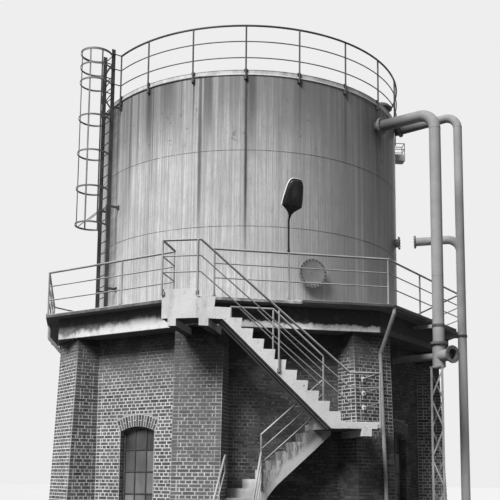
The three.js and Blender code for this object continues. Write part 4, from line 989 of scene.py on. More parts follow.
def open_end(build, place, way, bore, radius, thick, pipe, depth):
    """The open end of a pipe, facing along way: a bolted flange ring and the hollow stretch behind it."""
    turn = pointing(place, way)
    inner = radius - FLANGE_EASE
    ring = [(pipe, -depth), (pipe, -thick), (inner, -thick), (radius, FLANGE_EASE - thick),
            (radius, -FLANGE_EASE), (inner, 0), (bore, 0), (bore, -depth)]
    build.turned(ring, FLANGE_SIDES, turn, 1)
    sleeve = ((-0.004, -depth), (0.0008, -depth), (0.0008, -thick - 0.004), (-0.004, -thick - 0.004))
    build.turned([(pipe + r, z) for r, z in sleeve], FLANGE_SIDES, turn)
    bolt_ring(build, turn, (bore + radius) / 2 + 0.012, 12, 0.014, 0.012)


def flat_bar(build, start, end, face, width, thick):
    """A flat bar between two points, whose broad side looks roughly along face."""
    along = (end - start).normalized()
    side = along.cross(face).normalized()
    normal = side.cross(along).normalized()
    section = [side * u * width / 2 + normal * v * thick / 2 for u, v in ((-1, -1), (1, -1), (1, 1), (-1, 1))]
    build.loft([[spot + off for off in section] for spot in (start, end)], flip=True)


def ball(build, place, radius):
    """A round weld where rails meet."""
    steps = 6
    angles = [math.pi * k / steps for k in range(1, steps)]
    profile = [(radius * math.sin(a), -radius * math.cos(a)) for a in angles]
    build.turned([(0, -radius), *profile, (0, radius)], 12, Matrix.Translation(place))


# Roof railing
LADDER_AZ = -67.5
LADDER_WAY = 3.85
LADDER_R = 4.25
RAIL_CIRCLE = 4.052
ROOF_RAILS = (11.28, 11.68, 12.07)
ROOF_POST_FOOT = 10.76
ROOF_POSTS = 19
RAIL_STEP = 2.5
ROOF_BREAKS = (LADDER_AZ + LADDER_WAY, 50.9, 176.9, LADDER_AZ - LADDER_WAY + 360)


def roof_post(build, azimuth):
    """A post outside the rim, on two plates with two bolts each."""
    foot, head = (polar(azimuth, RAIL_CIRCLE, 0, z) for z in (ROOF_POST_FOOT, ROOF_RAILS[2]))
    build.rod(foot, head, POST)
    for low, high, reach in ((0.0, 0.1, 0.001), (0.2, 0.25, 0.021)):
        span = (ROOF_POST_FOOT + low, ROOF_POST_FOOT + high)
        face = TANK_R + reach
        build.block(azimuth, (face, RAIL_CIRCLE + 0.005), (-0.03, 0.03), span)
        build.block(azimuth, (face, face + 0.012), (-0.044, 0.044), span)
        for u in (-0.032, 0.032):
            bolt(build, azimuth, face + 0.01, u, sum(span) / 2, 0.011)


def make_roof_railing():
    azimuths = [ROOF_BREAKS[0], ROOF_BREAKS[3]] + [POST_FIRST + POST_STEP * i for i in range(ROOF_POSTS)]
    for i in range(3):
        build = Build()
        start, end = ROOF_BREAKS[i], ROOF_BREAKS[i + 1]
        count = round((end - start) / RAIL_STEP)
        steps = [start + (end - start) * k / count for k in range(count + 1)]
        for height, radius in zip(ROOF_RAILS, RAIL_SIZES):
            route = [polar(azimuth, RAIL_CIRCLE, 0, height) for azimuth in steps]
            build.sweep(route, radius, 12, 0 if radius == TOP_RAIL else 1)
        for azimuth in azimuths:
            if start - 0.01 <= azimuth <= end + 0.01:
                roof_post(build, azimuth)
        for side, piece, at_end in ((1, 0, start), (-1, 2, end)):
            u = side * RAIL_CIRCLE * math.sin(math.radians(LADDER_WAY))
            for height in ROOF_RAILS if i == piece else ():
                stile = polar(LADDER_AZ, LADDER_R + 0.04, u, height)
                build.rod(polar(at_end, RAIL_CIRCLE, 0, height), stile, LOW_RAIL)
        build.piece(f"roof_rails_{i + 1}", ("dark", "roof_rail"), "rail_steel", f"roof_railing_{i + 1}")


# Ladder and its cage
LADDER_HALF = 0.25
LADDER_TOP = 12.2
LADDER_BRACKETS = (6.1, 8.15, 10.7)
STILE_DEEP = 0.1
RUNG_STEP = 0.28
HOOP_HEIGHTS = (7.65, 8.55, 9.45, 10.35, 11.28, 11.68, 12.05)
HOOP_R = 0.38
HOOP_OUTER = HOOP_R + 0.008
HOOP_STEPS = 48
STRAP_ANGLES = (90, 135, 180, 225, 270)


def make_ladder():
    build = Build()
    for x in (-LADDER_HALF, LADDER_HALF):
        build.block(LADDER_AZ, around(LADDER_R, STILE_DEEP / 2), around(x, 0.006), (SLAB_TOP, LADDER_TOP))
        for z in LADDER_BRACKETS:
            build.block(LADDER_AZ, (TANK_R + 0.001, LADDER_R), around(x, 0.005), around(z, 0.03))
            build.block(LADDER_AZ, (TANK_R + 0.002, TANK_R + 0.013), around(x, 0.05), around(z, 0.05))
            for dz in (-0.03, 0.03):
                bolt(build, LADDER_AZ, TANK_R + 0.012, x + 0.03, z + dz)
    z = SLAB_TOP + RUNG_STEP
    while z < LADDER_TOP - 0.1:
        left, right = (polar(LADDER_AZ, LADDER_R, side * (LADDER_HALF + 0.01), z) for side in (-1, 1))
        build.rod(left, right, 0.012, 10)
        z += RUNG_STEP
    build.piece("ladder_rails", ("dark",), "dark_steel", "ladder")


def make_cage():
    build = Build()
    front = LADDER_R + STILE_DEEP / 2
    centre = front + math.sqrt(HOOP_OUTER ** 2 - LADDER_HALF ** 2)
    opening = math.asin(LADDER_HALF / HOOP_OUTER)

    def spot(angle, r, z):
        return polar(LADDER_AZ, centre - r * math.cos(angle), r * math.sin(angle), z)

    def bar(angle, r0, r1, z0, z1):
        return [spot(angle, r, z) for r, z in ((r0, z0), (r1, z0), (r1, z1), (r0, z1))]

    for height in HOOP_HEIGHTS:
        half = 0.03 if height == HOOP_HEIGHTS[-1] else 0.0225
        angles = [opening + 2 * (math.pi - opening) * k / HOOP_STEPS for k in range(HOOP_STEPS + 1)]
        build.loft([bar(a, HOOP_R, HOOP_OUTER, height - half, height + half) for a in angles])
    foot, low, high = HOOP_HEIGHTS[0], HOOP_HEIGHTS[0] - 0.022, HOOP_HEIGHTS[-1] + 0.022
    for angle in map(math.radians, STRAP_ANGLES):
        build.loft([bar(a, HOOP_R - 0.008, HOOP_R, low, high) for a in around(angle, 0.05)])
        for height in HOOP_HEIGHTS:
            build.rod(spot(angle, HOOP_R, height), spot(angle, HOOP_OUTER + 0.008, height), 0.009, 6)
    for u, angle in ((LADDER_HALF, 125), (-LADDER_HALF, 235)):
        pad = polar(LADDER_AZ, front + 0.012, u, foot + 0.48)
        build.rod(spot(math.radians(angle), HOOP_R + 0.002, foot), pad, 0.01, 8)
        build.block(LADDER_AZ, (front + SEAT, front + 0.03), around(u, 0.009), (foot - 0.01, foot + 0.52))
    build.piece("cage_bands", ("cage",), "dark_steel", "ladder_cage")


# Gallery railing
RAIL_LINE = SLAB_OUT - 0.045
RAIL_HALF = RAIL_LINE * SIN_C / COS_C
GALLERY_RAILS = (0.34, 0.67, 1.0)
FRONT_RAILS = (0.4, 0.71, 1.02)
FRONT_RAIL_START = -1.715
LAMP_X = -0.1
LEFT_RAIL_END = 1.637
CORNER_END = RAIL_HALF - 0.026
BASE_HALF = 0.044
BASE_BOLT = BASE_HALF * 0.68


def gallery_railing(name, heights, start, corner, end, spots):
    """Three rails bent round a corner of the gallery, and posts on bolted plates. A spot is azimuth and u."""
    build = Build()

    def at(spot, z):
        return polar(spot[0], RAIL_LINE, spot[1], SLAB_TOP + z)

    for height, radius in zip(heights, RAIL_SIZES):
        build.sweep(rounded([at(start, height), at(corner, height), at(end, height)], 0.06, 5), radius)
    for spot in spots:
        foot = at(spot, 0.001)
        build.rod(foot, at(spot, heights[2]), POST)
        build.rod(foot, foot + UP * 0.06, POST + 0.006)
        build.box(foot - Vector((BASE_HALF, BASE_HALF, 0)), foot + Vector((BASE_HALF, BASE_HALF, 0.009)))
        for dx in (-BASE_BOLT, BASE_BOLT):
            for dy in (-BASE_BOLT, BASE_BOLT):
                build.rod(foot + Vector((dx, dy, 0.008)), foot + Vector((dx, dy, 0.022)), 0.009, 6)
    build.piece(f"rails_{name}", ("rail",), "rail_steel", f"gallery_railing_{name}")


def make_gallery_railings():
    def side(azimuth):
        return [(azimuth, u) for u in (-RAIL_HALF, -0.7, 0.7, RAIL_HALF)]

    gallery_railing("front", FRONT_RAILS, (0, FRONT_RAIL_START), (0, RAIL_HALF), (45, CORNER_END),
                    [(0, FRONT_RAIL_START + POST), (0, LAMP_X), (0, RAIL_HALF), (45, -0.4), (45, 0.94)])
    for name, az in (("right", 90), ("back", 180)):
        gallery_railing(name, GALLERY_RAILS, (az, -RAIL_HALF), (az, RAIL_HALF), (az + 45, CORNER_END),
                        side(az) + [(az + 45, -0.7), (az + 45, 0.7)])
    gallery_railing("left", GALLERY_RAILS, (270, -RAIL_HALF), (270, RAIL_HALF), (315, LEFT_RAIL_END),
                    side(270) + [(315, 0.15), (315, LEFT_RAIL_END - POST)])


# Riser pipes, their tee and what carries them
RISERS = {
    "riser_pipe_1": {"az": 42.0, "r": 5.565, "radius": 0.137, "flange": 0.205, "meets": TANK_R, "tap": 0.0,
                     "rise": 0.0, "top": 10.31, "foot": 4.7, "bend": 0.4},
    "riser_pipe_2": {"az": 61.6, "r": 5.66, "radius": 0.11, "flange": 0.168, "meets": RIM_OUT, "tap": 5.0,
                     "rise": 0.13, "top": 10.96, "foot": 0.0, "bend": 0.32},
}
PIPE_AZ = RISERS["riser_pipe_1"]["az"]
PIPE_LINE = RISERS["riser_pipe_1"]["r"]
BOLTS_IN = 0.03
FLANGE_BACK = 0.13
BRANCH_FACE = 4.51
BRANCH_R = 0.108
BORE_R = 0.1
NOZZLE_AZ = 61.6
NOZZLE_Z = 7.66
NOZZLE_FACE = 4.12
NOZZLE_R = 0.11


def make_risers():
    for name, pipe in RISERS.items():
        build = Build()
        az, r, bolts = pipe["az"], pipe["r"], pipe["flange"] - BOLTS_IN
        tap = polar(az + pipe["tap"], pipe["meets"] + TOUCH, 0, pipe["top"] - pipe["rise"])
        elbow, foot = polar(az, r, 0, pipe["top"]), polar(az, r, 0, pipe["foot"])
        way = (elbow - tap).normalized()
        build.sweep(rounded([tap, elbow, foot], pipe["bend"], 16), pipe["radius"], PIPE_SIDES)
        for back in (FLANGE_BACK - 0.03, FLANGE_BACK):
            flange(build, tap + way * back, way, pipe["flange"])
        bolt_ring(build, pointing(tap + way * (FLANGE_BACK + FLANGE_THICK), way), bolts)
        bolt_ring(build, pointing(tap + way * (FLANGE_BACK - 0.03), -way), bolts)
        weld = [(pipe["radius"] + out, z) for out, z in ((-0.006, -0.008), (0.004, -0.004), (0.004, 0.004),
                                                         (-0.006, 0.008))]
        for z in (6.3, pipe["top"] - pipe["bend"]):
            build.turned(weld, PIPE_SIDES, Matrix.Translation(polar(az, r, 0, z)))
        if name == "riser_pipe_1":
            flange(build, foot, UP, pipe["flange"])
            bolt_ring(build, pointing(foot + UP * FLANGE_THICK, UP), bolts)
        else:
            elbow = polar(az, r, 0, NOZZLE_Z)
            route = [polar(az, BRANCH_FACE + 0.26, 0, NOZZLE_Z), elbow, elbow - UP * 0.66]
            build.sweep(rounded(route, 0.33, 14), BRANCH_R, PIPE_SIDES)
            open_end(build, polar(az, BRANCH_FACE, 0, NOZZLE_Z), -polar(az, 1), BORE_R, pipe["flange"],
                     FLANGE_THICK, BRANCH_R, 0.27)
        build.piece(f"{name}_tube", ("pipe", "flange"), "pipe_paint", name, 30)


def make_low_nozzle():
    build = Build()
    radii = (TANK_R + TOUCH, TANK_R + 0.041, NOZZLE_FACE)
    foot, collar, face = (polar(NOZZLE_AZ, r, 0, NOZZLE_Z) for r in radii)
    build.rod(foot, collar, NOZZLE_R, PIPE_SIDES, 1)
    flange_r = RISERS["riser_pipe_2"]["flange"]
    open_end(build, face, polar(NOZZLE_AZ, 1), BORE_R, flange_r, 0.026, NOZZLE_R, 0.08)
    build.piece("nozzle_flange", ("flange", "flange"), "dark_steel", "low_nozzle", 30)


TEE_Z = 4.4
TEE_R = 0.15
TEE_FLANGE = 0.205
TEE_OUTLET = (0.43, -0.19)
TEE_THICK = 0.03
INLET_R = 0.084
MAST_TOP = 4.13
HEAD_THICK = 0.02


def make_tee():
    build = Build()
    foot = polar(PIPE_AZ, PIPE_LINE, 0, MAST_TOP + HEAD_THICK + SEAT)
    top = polar(PIPE_AZ, PIPE_LINE, 0, RISERS["riser_pipe_1"]["foot"] - SEAT)
    build.rod(foot, top, TEE_R, PIPE_SIDES)
    flange(build, top - UP * FLANGE_THICK, UP, TEE_FLANGE)
    bolt_ring(build, pointing(top - UP * FLANGE_THICK, -UP), TEE_FLANGE - BOLTS_IN)
    centre = polar(PIPE_AZ, PIPE_LINE, 0, TEE_Z)
    outlet = polar(PIPE_AZ, PIPE_LINE + TEE_OUTLET[0], TEE_OUTLET[1], TEE_Z)
    way = (outlet - centre).normalized()
    radius = RISERS["riser_pipe_1"]["radius"]
    build.rod(centre, outlet - way * 0.18, radius, PIPE_SIDES)
    open_end(build, outlet, way, radius - 0.012, TEE_FLANGE, TEE_THICK, radius, 0.2)
    bolt_ring(build, pointing(outlet - way * TEE_THICK, -way), 0.178)
    inlet = polar(PIPE_AZ, WALL_OUT / math.cos(math.radians(FACE_STEP - PIPE_AZ)) + 0.012, 0, TEE_Z)
    build.rod(centre, inlet, INLET_R, 32)
    build.rod(inlet + (centre - inlet).normalized() * 0.03, inlet, INLET_R + 0.021, 32, 1)
    build.piece("tee_casting", ("pipe", "flange"), "pipe_paint", "pipe_tee", 30)


def make_brackets():
    """A channel from the beam to each riser, and a clamp round the pipe."""
    for number, z in ((1, 5.12), (2, 5.15)):
        build = Build()
        pipe = RISERS[f"riser_pipe_{number}"]
        az, r, radius = pipe["az"], pipe["r"], pipe["radius"]
        offset = abs(az - round((az - CORNER) / FACE_STEP + 0.5) * FACE_STEP)
        start = BEAM_OUT / math.cos(math.radians(min(offset, CORNER))) + 0.04 * SIN_C
        for z0, z1, u0, u1 in ((0.034, 0.04, -0.04, 0.04), (-0.04, -0.034, -0.04, 0.04),
                               (-0.034, 0.034, -0.04, -0.034)):
            build.block(az, (start, r - radius - 0.001), (u0, u1), (z + z0, z + z1))
        inner, outer = radius + TOUCH, radius + 0.014
        build.turned([(inner, -0.03), (outer, -0.03), (outer, 0.03), (inner, 0.03)], FLANGE_SIDES,
                     Matrix.Translation(polar(az, r, 0, z)), 1)
        for u in (-radius - 0.012, radius + 0.012):
            bolt(build, az, r - 0.03, u, z, 0.011, 0.06, 1)
        name = f"pipe_bracket_{number}"
        build.piece(f"{name}_channel", ("rail", "dark"), "rail_steel", name)


MAST_R = 5.5
MAST_HALF = 0.126
MAST_HEAD = 0.16
MAST_BAYS = 6
MAST_TURN = 25.0
ANGLE_LEG = 0.05
ANGLE_THICK = 0.006


def make_mast():
    """Four steel angles under a head plate, with a zigzag of flat bars on each side."""
    build = Build()
    turn = Matrix.Translation(polar(PIPE_AZ, MAST_R)) @ about(PIPE_AZ + MAST_TURN)
    build.box((-MAST_HEAD, -MAST_HEAD, MAST_TOP), (MAST_HEAD, MAST_HEAD, MAST_TOP + HEAD_THICK), turn)
    out = MAST_HALF + 0.021
    leg, skin_in = out - ANGLE_LEG, out - ANGLE_THICK
    corners = [(-1, -1), (1, -1), (1, 1), (-1, 1)]
    for sx, sy in ((-1, -1), (-1, 1), (1, -1), (1, 1)):
        for x, y in ((leg, skin_in), (skin_in, leg)):
            (x0, x1), (y0, y1) = sorted((sx * x, sx * out)), sorted((sy * y, sy * out))
            build.box((x0, y0, 0.001), (x1, y1, MAST_TOP), turn)
    pitch = (MAST_TOP - 0.06) / MAST_BAYS
    reach = MAST_HALF + 0.012
    for side in range(4):
        for i in range(MAST_BAYS):
            a, b = corners[(side + (i + 1) % 2) % 4], corners[(side + i % 2) % 4]
            low = Vector((a[0] * reach, a[1] * reach, 0.03 + pitch * i))
            high = Vector((b[0] * reach, b[1] * reach, 0.03 + pitch * (i + 1)))
            face = turn.to_3x3() @ Vector((a[0] + b[0], a[1] + b[1], 0))
            flat_bar(build, turn @ low, turn @ high, face, 0.034, 0.007)
    build.piece("mast_angles", ("mast",), "rail_steel", "pipe_mast", 0)


# Fittings on the tank
MANHOLE_OUT = TANK_R + 0.16
MANHOLE_NECK = 0.27
MANHOLE_COVER = 0.34
MANHOLE_BOLTS = 22


def make_manhole():
    """A neck, its flange and a bolted cover with a raised rim, from the tank outwards."""
    build = Build()
    outwards = Matrix.Rotation(math.radians(90), 4, "X")
    turn = about(MANHOLE_AZ) @ Matrix.Translation((0, 0, MANHOLE_Z)) @ outwards
    root, joint = TANK_R - 0.01 - MANHOLE_OUT, -0.05
    neck = [(0, root), (MANHOLE_NECK, root), (MANHOLE_NECK, joint), (0, joint)]
    edge = MANHOLE_COVER - 0.004
    ring = [(0, joint), (edge, joint), (MANHOLE_COVER, -0.046), (MANHOLE_COVER, -0.03), (edge, -0.027),
            (0, -0.027)]
    cover = [(0, -0.026), (edge, -0.026), (MANHOLE_COVER, -0.022), (MANHOLE_COVER, -0.006),
             (MANHOLE_COVER - 0.008, 0), (MANHOLE_COVER - 0.075, 0), (MANHOLE_COVER - 0.085, -0.004),
             (0, -0.004)]
    for profile, segments in ((neck, 64), (ring, 96), (cover, 96)):
        build.turned([(r, MANHOLE_OUT + z) for r, z in profile], segments, turn)
    face = turn @ Matrix.Translation((0, 0, MANHOLE_OUT - 0.001))
    bolt_ring(build, face, MANHOLE_COVER - 0.037, MANHOLE_BOLTS, 0.02, 0.014)
    build.piece("manhole_cover", ("manhole", "black"), "tank_steel", "manhole", 30)


GAUGE_AZ = 84.0
GAUGE_BOTTOM = 10.45
GAUGE_TOP = GAUGE_BOTTOM + 0.18
GAUGE_OUT = TANK_R + 0.385
GUARD_OUT = GAUGE_OUT - 0.014
GUARD_HEIGHTS = (10.78, 10.95)


def make_gauge():
    """A lidded box on a pad, in a guard of round bars."""
    build = Build()

    def bar(*ends):
        build.rod(*(polar(GAUGE_AZ, r, u, z) for r, u, z in ends), 0.01, 10, 1)

    for z in ((GAUGE_BOTTOM, GAUGE_TOP - 0.012), (GAUGE_TOP - 0.01, GAUGE_TOP)):
        build.block(GAUGE_AZ, (TANK_R + 0.025, GAUGE_OUT), (-0.15, 0.15), z)
    pad = (GAUGE_BOTTOM + 0.05, GAUGE_BOTTOM + 0.13)
    build.block(GAUGE_AZ, (TANK_R + 0.012, TANK_R + 0.04), (-0.1, 0.1), pad)
    for u in (-0.136, 0.136):
        bar((GUARD_OUT, u, GAUGE_TOP - 0.03), (GUARD_OUT, u, 10.958))
        for z, reach in zip(GUARD_HEIGHTS, (TANK_R, RIM_OUT)):
            bar((GUARD_OUT, u, z), (reach + 0.001, u, z))
    for z in GUARD_HEIGHTS:
        bar((GUARD_OUT, -0.146, z), (GUARD_OUT, 0.146, z))
    for u in (-0.12, 0.12):
        for z in (GAUGE_BOTTOM + 0.03, GAUGE_TOP - 0.04):
            bolt(build, GAUGE_AZ, GAUGE_OUT - 0.004, u, z, 0.01, 0.003, 1)
    build.piece("gauge_case", ("gauge", "dark"), "pipe_paint", "gauge_box")


# Roof and vent
ROOF_EDGE = 10.95
ROOF_RISE = 0.26
ROOF_THICK = 0.01
ROOF_R = SHELL_IN - SEAT
ROOF_SEAMS = 24
SEAM_TIP = 0.5
VENT = ((0, 0), (0.18, 0), (0.18, 0.25), (0.27, 0.255), (0.29, 0.262), (0.29, 0.288), (0.28, 0.3),
        (0.22, 0.37), (0.2, 0.385), (0.1, 0.402), (0, 0.41))


def roof_top(r):
    return ROOF_EDGE + ROOF_THICK + ROOF_RISE * (1 - r / ROOF_R)


def make_roof():
    build = Build()
    plates = [(0, ROOF_EDGE + ROOF_RISE), (ROOF_R, ROOF_EDGE), (ROOF_R, roof_top(ROOF_R)), (0, roof_top(0))]
    build.turned(plates, 192)
    for i in range(ROOF_SEAMS):
        azimuth = ROOF_SEAM_STEP * i + ROOF_SEAM_FIRST
        foot = polar(azimuth, ROOF_R - 0.02, 0, roof_top(ROOF_R) + 0.002)
        flat_bar(build, foot, polar(azimuth, SEAM_TIP, 0, roof_top(SEAM_TIP) + 0.002), UP, 0.07, 0.008)
    build.piece("roof_plates", ("roof",), "tank_steel", "tank_roof", 30)
    vent = Build()
    turn = Matrix.Translation(polar(58, 3.72, 0, roof_top(3.54) + SEAT))
    vent.turned(VENT, 48, turn)
    vent.turned([(0.178, 0.02), (0.2, 0.02), (0.2, 0.03), (0.178, 0.03)], 48, turn)
    vent.piece("vent_hood", ("dark",), "dark_steel", "roof_vent", 30)


# Lamp
LAMP_TILT = math.radians(66)
LAMP_YAW = math.radians(12)
LAMP_WAY = Vector((math.cos(LAMP_TILT) * math.sin(LAMP_YAW), -math.cos(LAMP_TILT) * math.cos(LAMP_YAW),
                   math.sin(LAMP_TILT)))
LAMP_FOOT = polar(0, RAIL_LINE, LAMP_X, SLAB_TOP + FRONT_RAILS[2] + TOP_RAIL + SEAT)
LAMP_NECK = Vector((LAMP_FOOT.x, LAMP_FOOT.y - 0.045, 7.11))
# The housing seen square on, from foot to top: half width and distance along the lamp
HOUSING = ((0.15, 0.235), (0.205, 0.24), (0.228, 0.25), (0.24, 0.26), (0.238, 0.34), (0.23, 0.43),
           (0.2, 0.63), (0.183, 0.72), (0.155, 0.79), (0.12, 0.83), (0.08, 0.85))
HOUSING_MIDDLE = 0.5
# Its rings: share of the outline and depth, for the shell, the bowl's dark frame and the bowl
SHELL_RINGS = ((0.92, -0.02), (0.985, -0.022), (1.0, -0.014), (1.0, 0.012), (0.97, 0.035), (0.91, 0.055),
               (0.82, 0.072), (0.7, 0.083), (0.4, 0.085))
FRAME_RINGS = ((0.97, -0.017), (0.965, -0.0235), (0.93, -0.026), (0.9, -0.024))
BOWL_RINGS = ((0.93, -0.02), (0.915, -0.045), (0.88, -0.07), (0.82, -0.086), (0.7, -0.093), (0.4, -0.095))
# The neck's flare: distance along the lamp, half width, half depth, and how far it leans to the bowl
NECK = ((0.0, 0.024, 0.024, 0.0), (0.05, 0.03, 0.026, 0.1), (0.09, 0.045, 0.029, 0.25),
        (0.13, 0.072, 0.033, 0.45), (0.165, 0.11, 0.037, 0.65), (0.2, 0.155, 0.041, 0.8),
        (0.232, 0.2, 0.044, 0.95), (0.258, 0.228, 0.044, 1.0), (0.3, 0.225, 0.04, 1.0))


def make_lamp():
    pole = Build()
    route = [LAMP_FOOT, Vector((LAMP_FOOT.x, LAMP_FOOT.y, 6.95)), LAMP_NECK - LAMP_WAY * 0.06, LAMP_NECK]
    pole.sweep(rounded(route, 0.03, 5), 0.022, 16)
    pole.rod(LAMP_FOOT, LAMP_FOOT + UP * 0.05, 0.028, 16)
    pole.piece("lamp_mast", ("lamp_dark",), "dark_steel", "lamp_pole")
    head = Build()
    turn = (Matrix.Translation(LAMP_NECK + LAMP_WAY * SEAT) @ Matrix.Rotation(math.pi + LAMP_YAW, 4, "Z")
            @ Matrix.Rotation(LAMP_TILT, 4, "X"))
    outline = list(HOUSING) + [(-x, y) for x, y in reversed(HOUSING)]
    for slot, rings in enumerate((SHELL_RINGS, FRAME_RINGS, BOWL_RINGS)):
        head.loft([[turn @ Vector((x * share, HOUSING_MIDDLE + (y - HOUSING_MIDDLE) * share, z))
                    for x, y in outline] for share, z in rings], slot, flip=slot > 0)
    around = [2 * math.pi * k / 32 for k in range(32)]
    head.loft([[turn @ Vector((half * math.cos(a), y, deep * math.sin(a) - 0.035 * lean)) for a in around]
               for y, half, deep, lean in NECK], 1, flip=True)
    head.box((-0.2, 0.285, -0.075), (0.2, 0.3, -0.02), turn, 1)
    head.piece("lamp_housing", ("lamp", "lamp_dark", "glass"), "dark_steel", "lamp_head", 40)


# Downpipes
PIPE_OFF = 0.06
DOWNPIPE_R = 0.042
GUTTER_BOTTOM = SLAB_BOTTOM + 0.005
LEFT_PIPE_Y = -1.13
CLIP_HEIGHTS = (1.0, 2.3, 3.6)


def down_pipe(name, route, way):
    """A bent pipe with a collar and a wall hook at each clip."""
    build = Build()
    build.sweep(rounded(route, PIPE_OFF, 6), DOWNPIPE_R, 24)
    upper, lower = next((a, b) for a, b in zip(route, route[1:]) if b.z <= CLIP_HEIGHTS[0] <= a.z)
    collar = ((-0.006, -0.05), (0.006, -0.046), (0.006, 0.0), (-0.006, 0.004))
    for z in CLIP_HEIGHTS:
        spot = upper.lerp(lower, (z - upper.z) / (lower.z - upper.z))
        build.turned([(DOWNPIPE_R + r, h) for r, h in collar], 24, Matrix.Translation(spot))
        hook = spot - UP * 0.07
        build.rod(hook, hook - way * 0.058, 0.008, 8)
    build.piece(f"{name}_tube", ("downpipe",), "rail_steel", name)


def make_downpipes():
    foot = pier_front(0) + PIPE_OFF
    spots = ((5.7, 0.05, GUTTER_BOTTOM - SEAT), (5.7, 0.05, GUTTER_BOTTOM - 0.11),
             (pier_front(4.3) + PIPE_OFF, 0.18, 4.33), (foot, 0.19, 0.25), (foot, 0.19, 0.0))
    down_pipe("downpipe_right", [polar(CORNER, *spot) for spot in spots], polar(CORNER, 1))
    spots = ((PIPE_OFF - SLAB_OUT, LEFT_PIPE_Y - PIPE_OFF, SLAB_BOTTOM - SEAT),
             (PIPE_OFF - SLAB_OUT, LEFT_PIPE_Y - PIPE_OFF, SLAB_BOTTOM - 0.33),
             (-WALL_OUT - PIPE_OFF, LEFT_PIPE_Y, 4.1), (-WALL_OUT - PIPE_OFF, LEFT_PIPE_Y, 0.0))
    down_pipe("downpipe_left", [Vector(spot) for spot in spots], Vector((-1, 0, 0)))


# Windows: a steel frame, two uprights and three cross bars, and a pane in each light
BAR_HEIGHTS = (1.22, 1.71, 2.2)
BAR_U = (-0.165, 0.165)
BAR_HALF = 0.013
SASH_FRONT = WALL_OUT - SASH_SETBACK
SASH_WIDE = 0.055
PANE_R = SASH_FRONT - 0.024
PANES_HALF = 0.447
PANES_TOP = 2.64
TOP_LIGHTS = 2.3
# Usual tone of the panes: the top lights are darker, as painted shade under the arch
PANE_TONES_AND_SHADE = {"top": 0.22, "other": 0.62}


def window_ring(azimuth, inset, r, count=12):
    """The window's outline, moved inwards: its sill, then its arch from right to left."""
    half = WINDOW_HALF - inset
    points = [(-half, WINDOW_SILL + inset), (half, WINDOW_SILL + inset)]
    for i in range(count + 1):
        u = WINDOW_HALF * (1 - 2 * i / count)
        points.append((u * half / WINDOW_HALF, ARCH_CENTRE + math.sqrt(ARCH_R ** 2 - u * u) - inset))
    return [polar(azimuth, r, u, z) for u, z in points]


def make_window(face, azimuth):
    build = Build()
    depths = ((0.0005, 0.0), (SASH_WIDE, 0.0), (SASH_WIDE, SASH_WIDE), (0.0005, SASH_WIDE))
    rings = [window_ring(azimuth, inset, SASH_FRONT - depth) for inset, depth in depths]
    build.loft(rings, loop=True, tone=0.5)
    span = (SASH_FRONT - 0.034, SASH_FRONT - 0.004)
    for u in BAR_U:
        build.block(azimuth, span, around(u, BAR_HALF), (WINDOW_SILL + 0.05, PANES_TOP + 0.015), tone=0.5)
    for z in reversed(BAR_HEIGHTS):
        build.block(azimuth, span, around(0, PANES_HALF - 0.001), around(z, BAR_HALF), tone=0.5)
    columns = [-PANES_HALF, *BAR_U, PANES_HALF]
    rows = [WINDOW_SILL + 0.054, *BAR_HEIGHTS, PANES_TOP]
    for left, right in zip(columns, columns[1:]):
        for low, high in zip(rows, rows[1:]):
            tilt = dice.uniform(-0.002, 0.002)
            tone = clamped(dice.gauss(PANE_TONES_AND_SHADE["top" if high > TOP_LIGHTS else "other"], 0.16))
            corners = ((tilt, left, low), (-tilt, right, low), (-tilt, right, high), (tilt, left, high))
            rings = [[polar(azimuth, PANE_R + off - back, u, z) for off, u, z in corners]
                     for back in (0, 0.004)]
            build.loft(rings, 1, flip=True, tone=tone)
    build.piece(f"sash_{face}", ("frame", "pane"), "window_paint", f"window_{face}", 20)


# Stair railings
STAIR_OUT = -5.87
STAIR_IN = -5.26
LOWER_OUT = -5.02
LANDING_AZ = -22.5
LANDING_LEFT = -0.46
FIRST_TREAD = 5.175
MID_TOP = 2.735
MID_BOTTOM = 2.59
MID_RIGHT = 1.67
UPPER_END = 0.83
UPPER_SLOPE = (FIRST_TREAD - MID_TOP) / 12 / 0.228
LOWER_RISE = MID_TOP / 14
LOWER_GOING = 0.22
PIVOT_X = 0.473 - LOWER_GOING * 5
SLAB_CORNER_X = -SLAB_OUT * SIN_C / COS_C
LANDING_FRONT = -SLAB_CORNER_X * SIN_C - STAIR_OUT * COS_C
RAIL_OFF = 0.027
MID_RAILS = (0.382, 0.694, 0.998)
POST_DOWN = 0.13
STAND = 0.0002


def foot_plate(build, low, high, way):
    """A steel plate that holds a post's foot to the concrete's side, with four bolt heads on it."""
    build.box(low, high)
    for z in (low[2] + 0.02, high[2] - 0.02):
        for x in (low[0] + 0.012, high[0] - 0.012):
            y = low[1] if way < 0 else high[1]
            build.rod((x, y - way * 0.002, z), (x, y + way * 0.008, z), 0.008, 6)


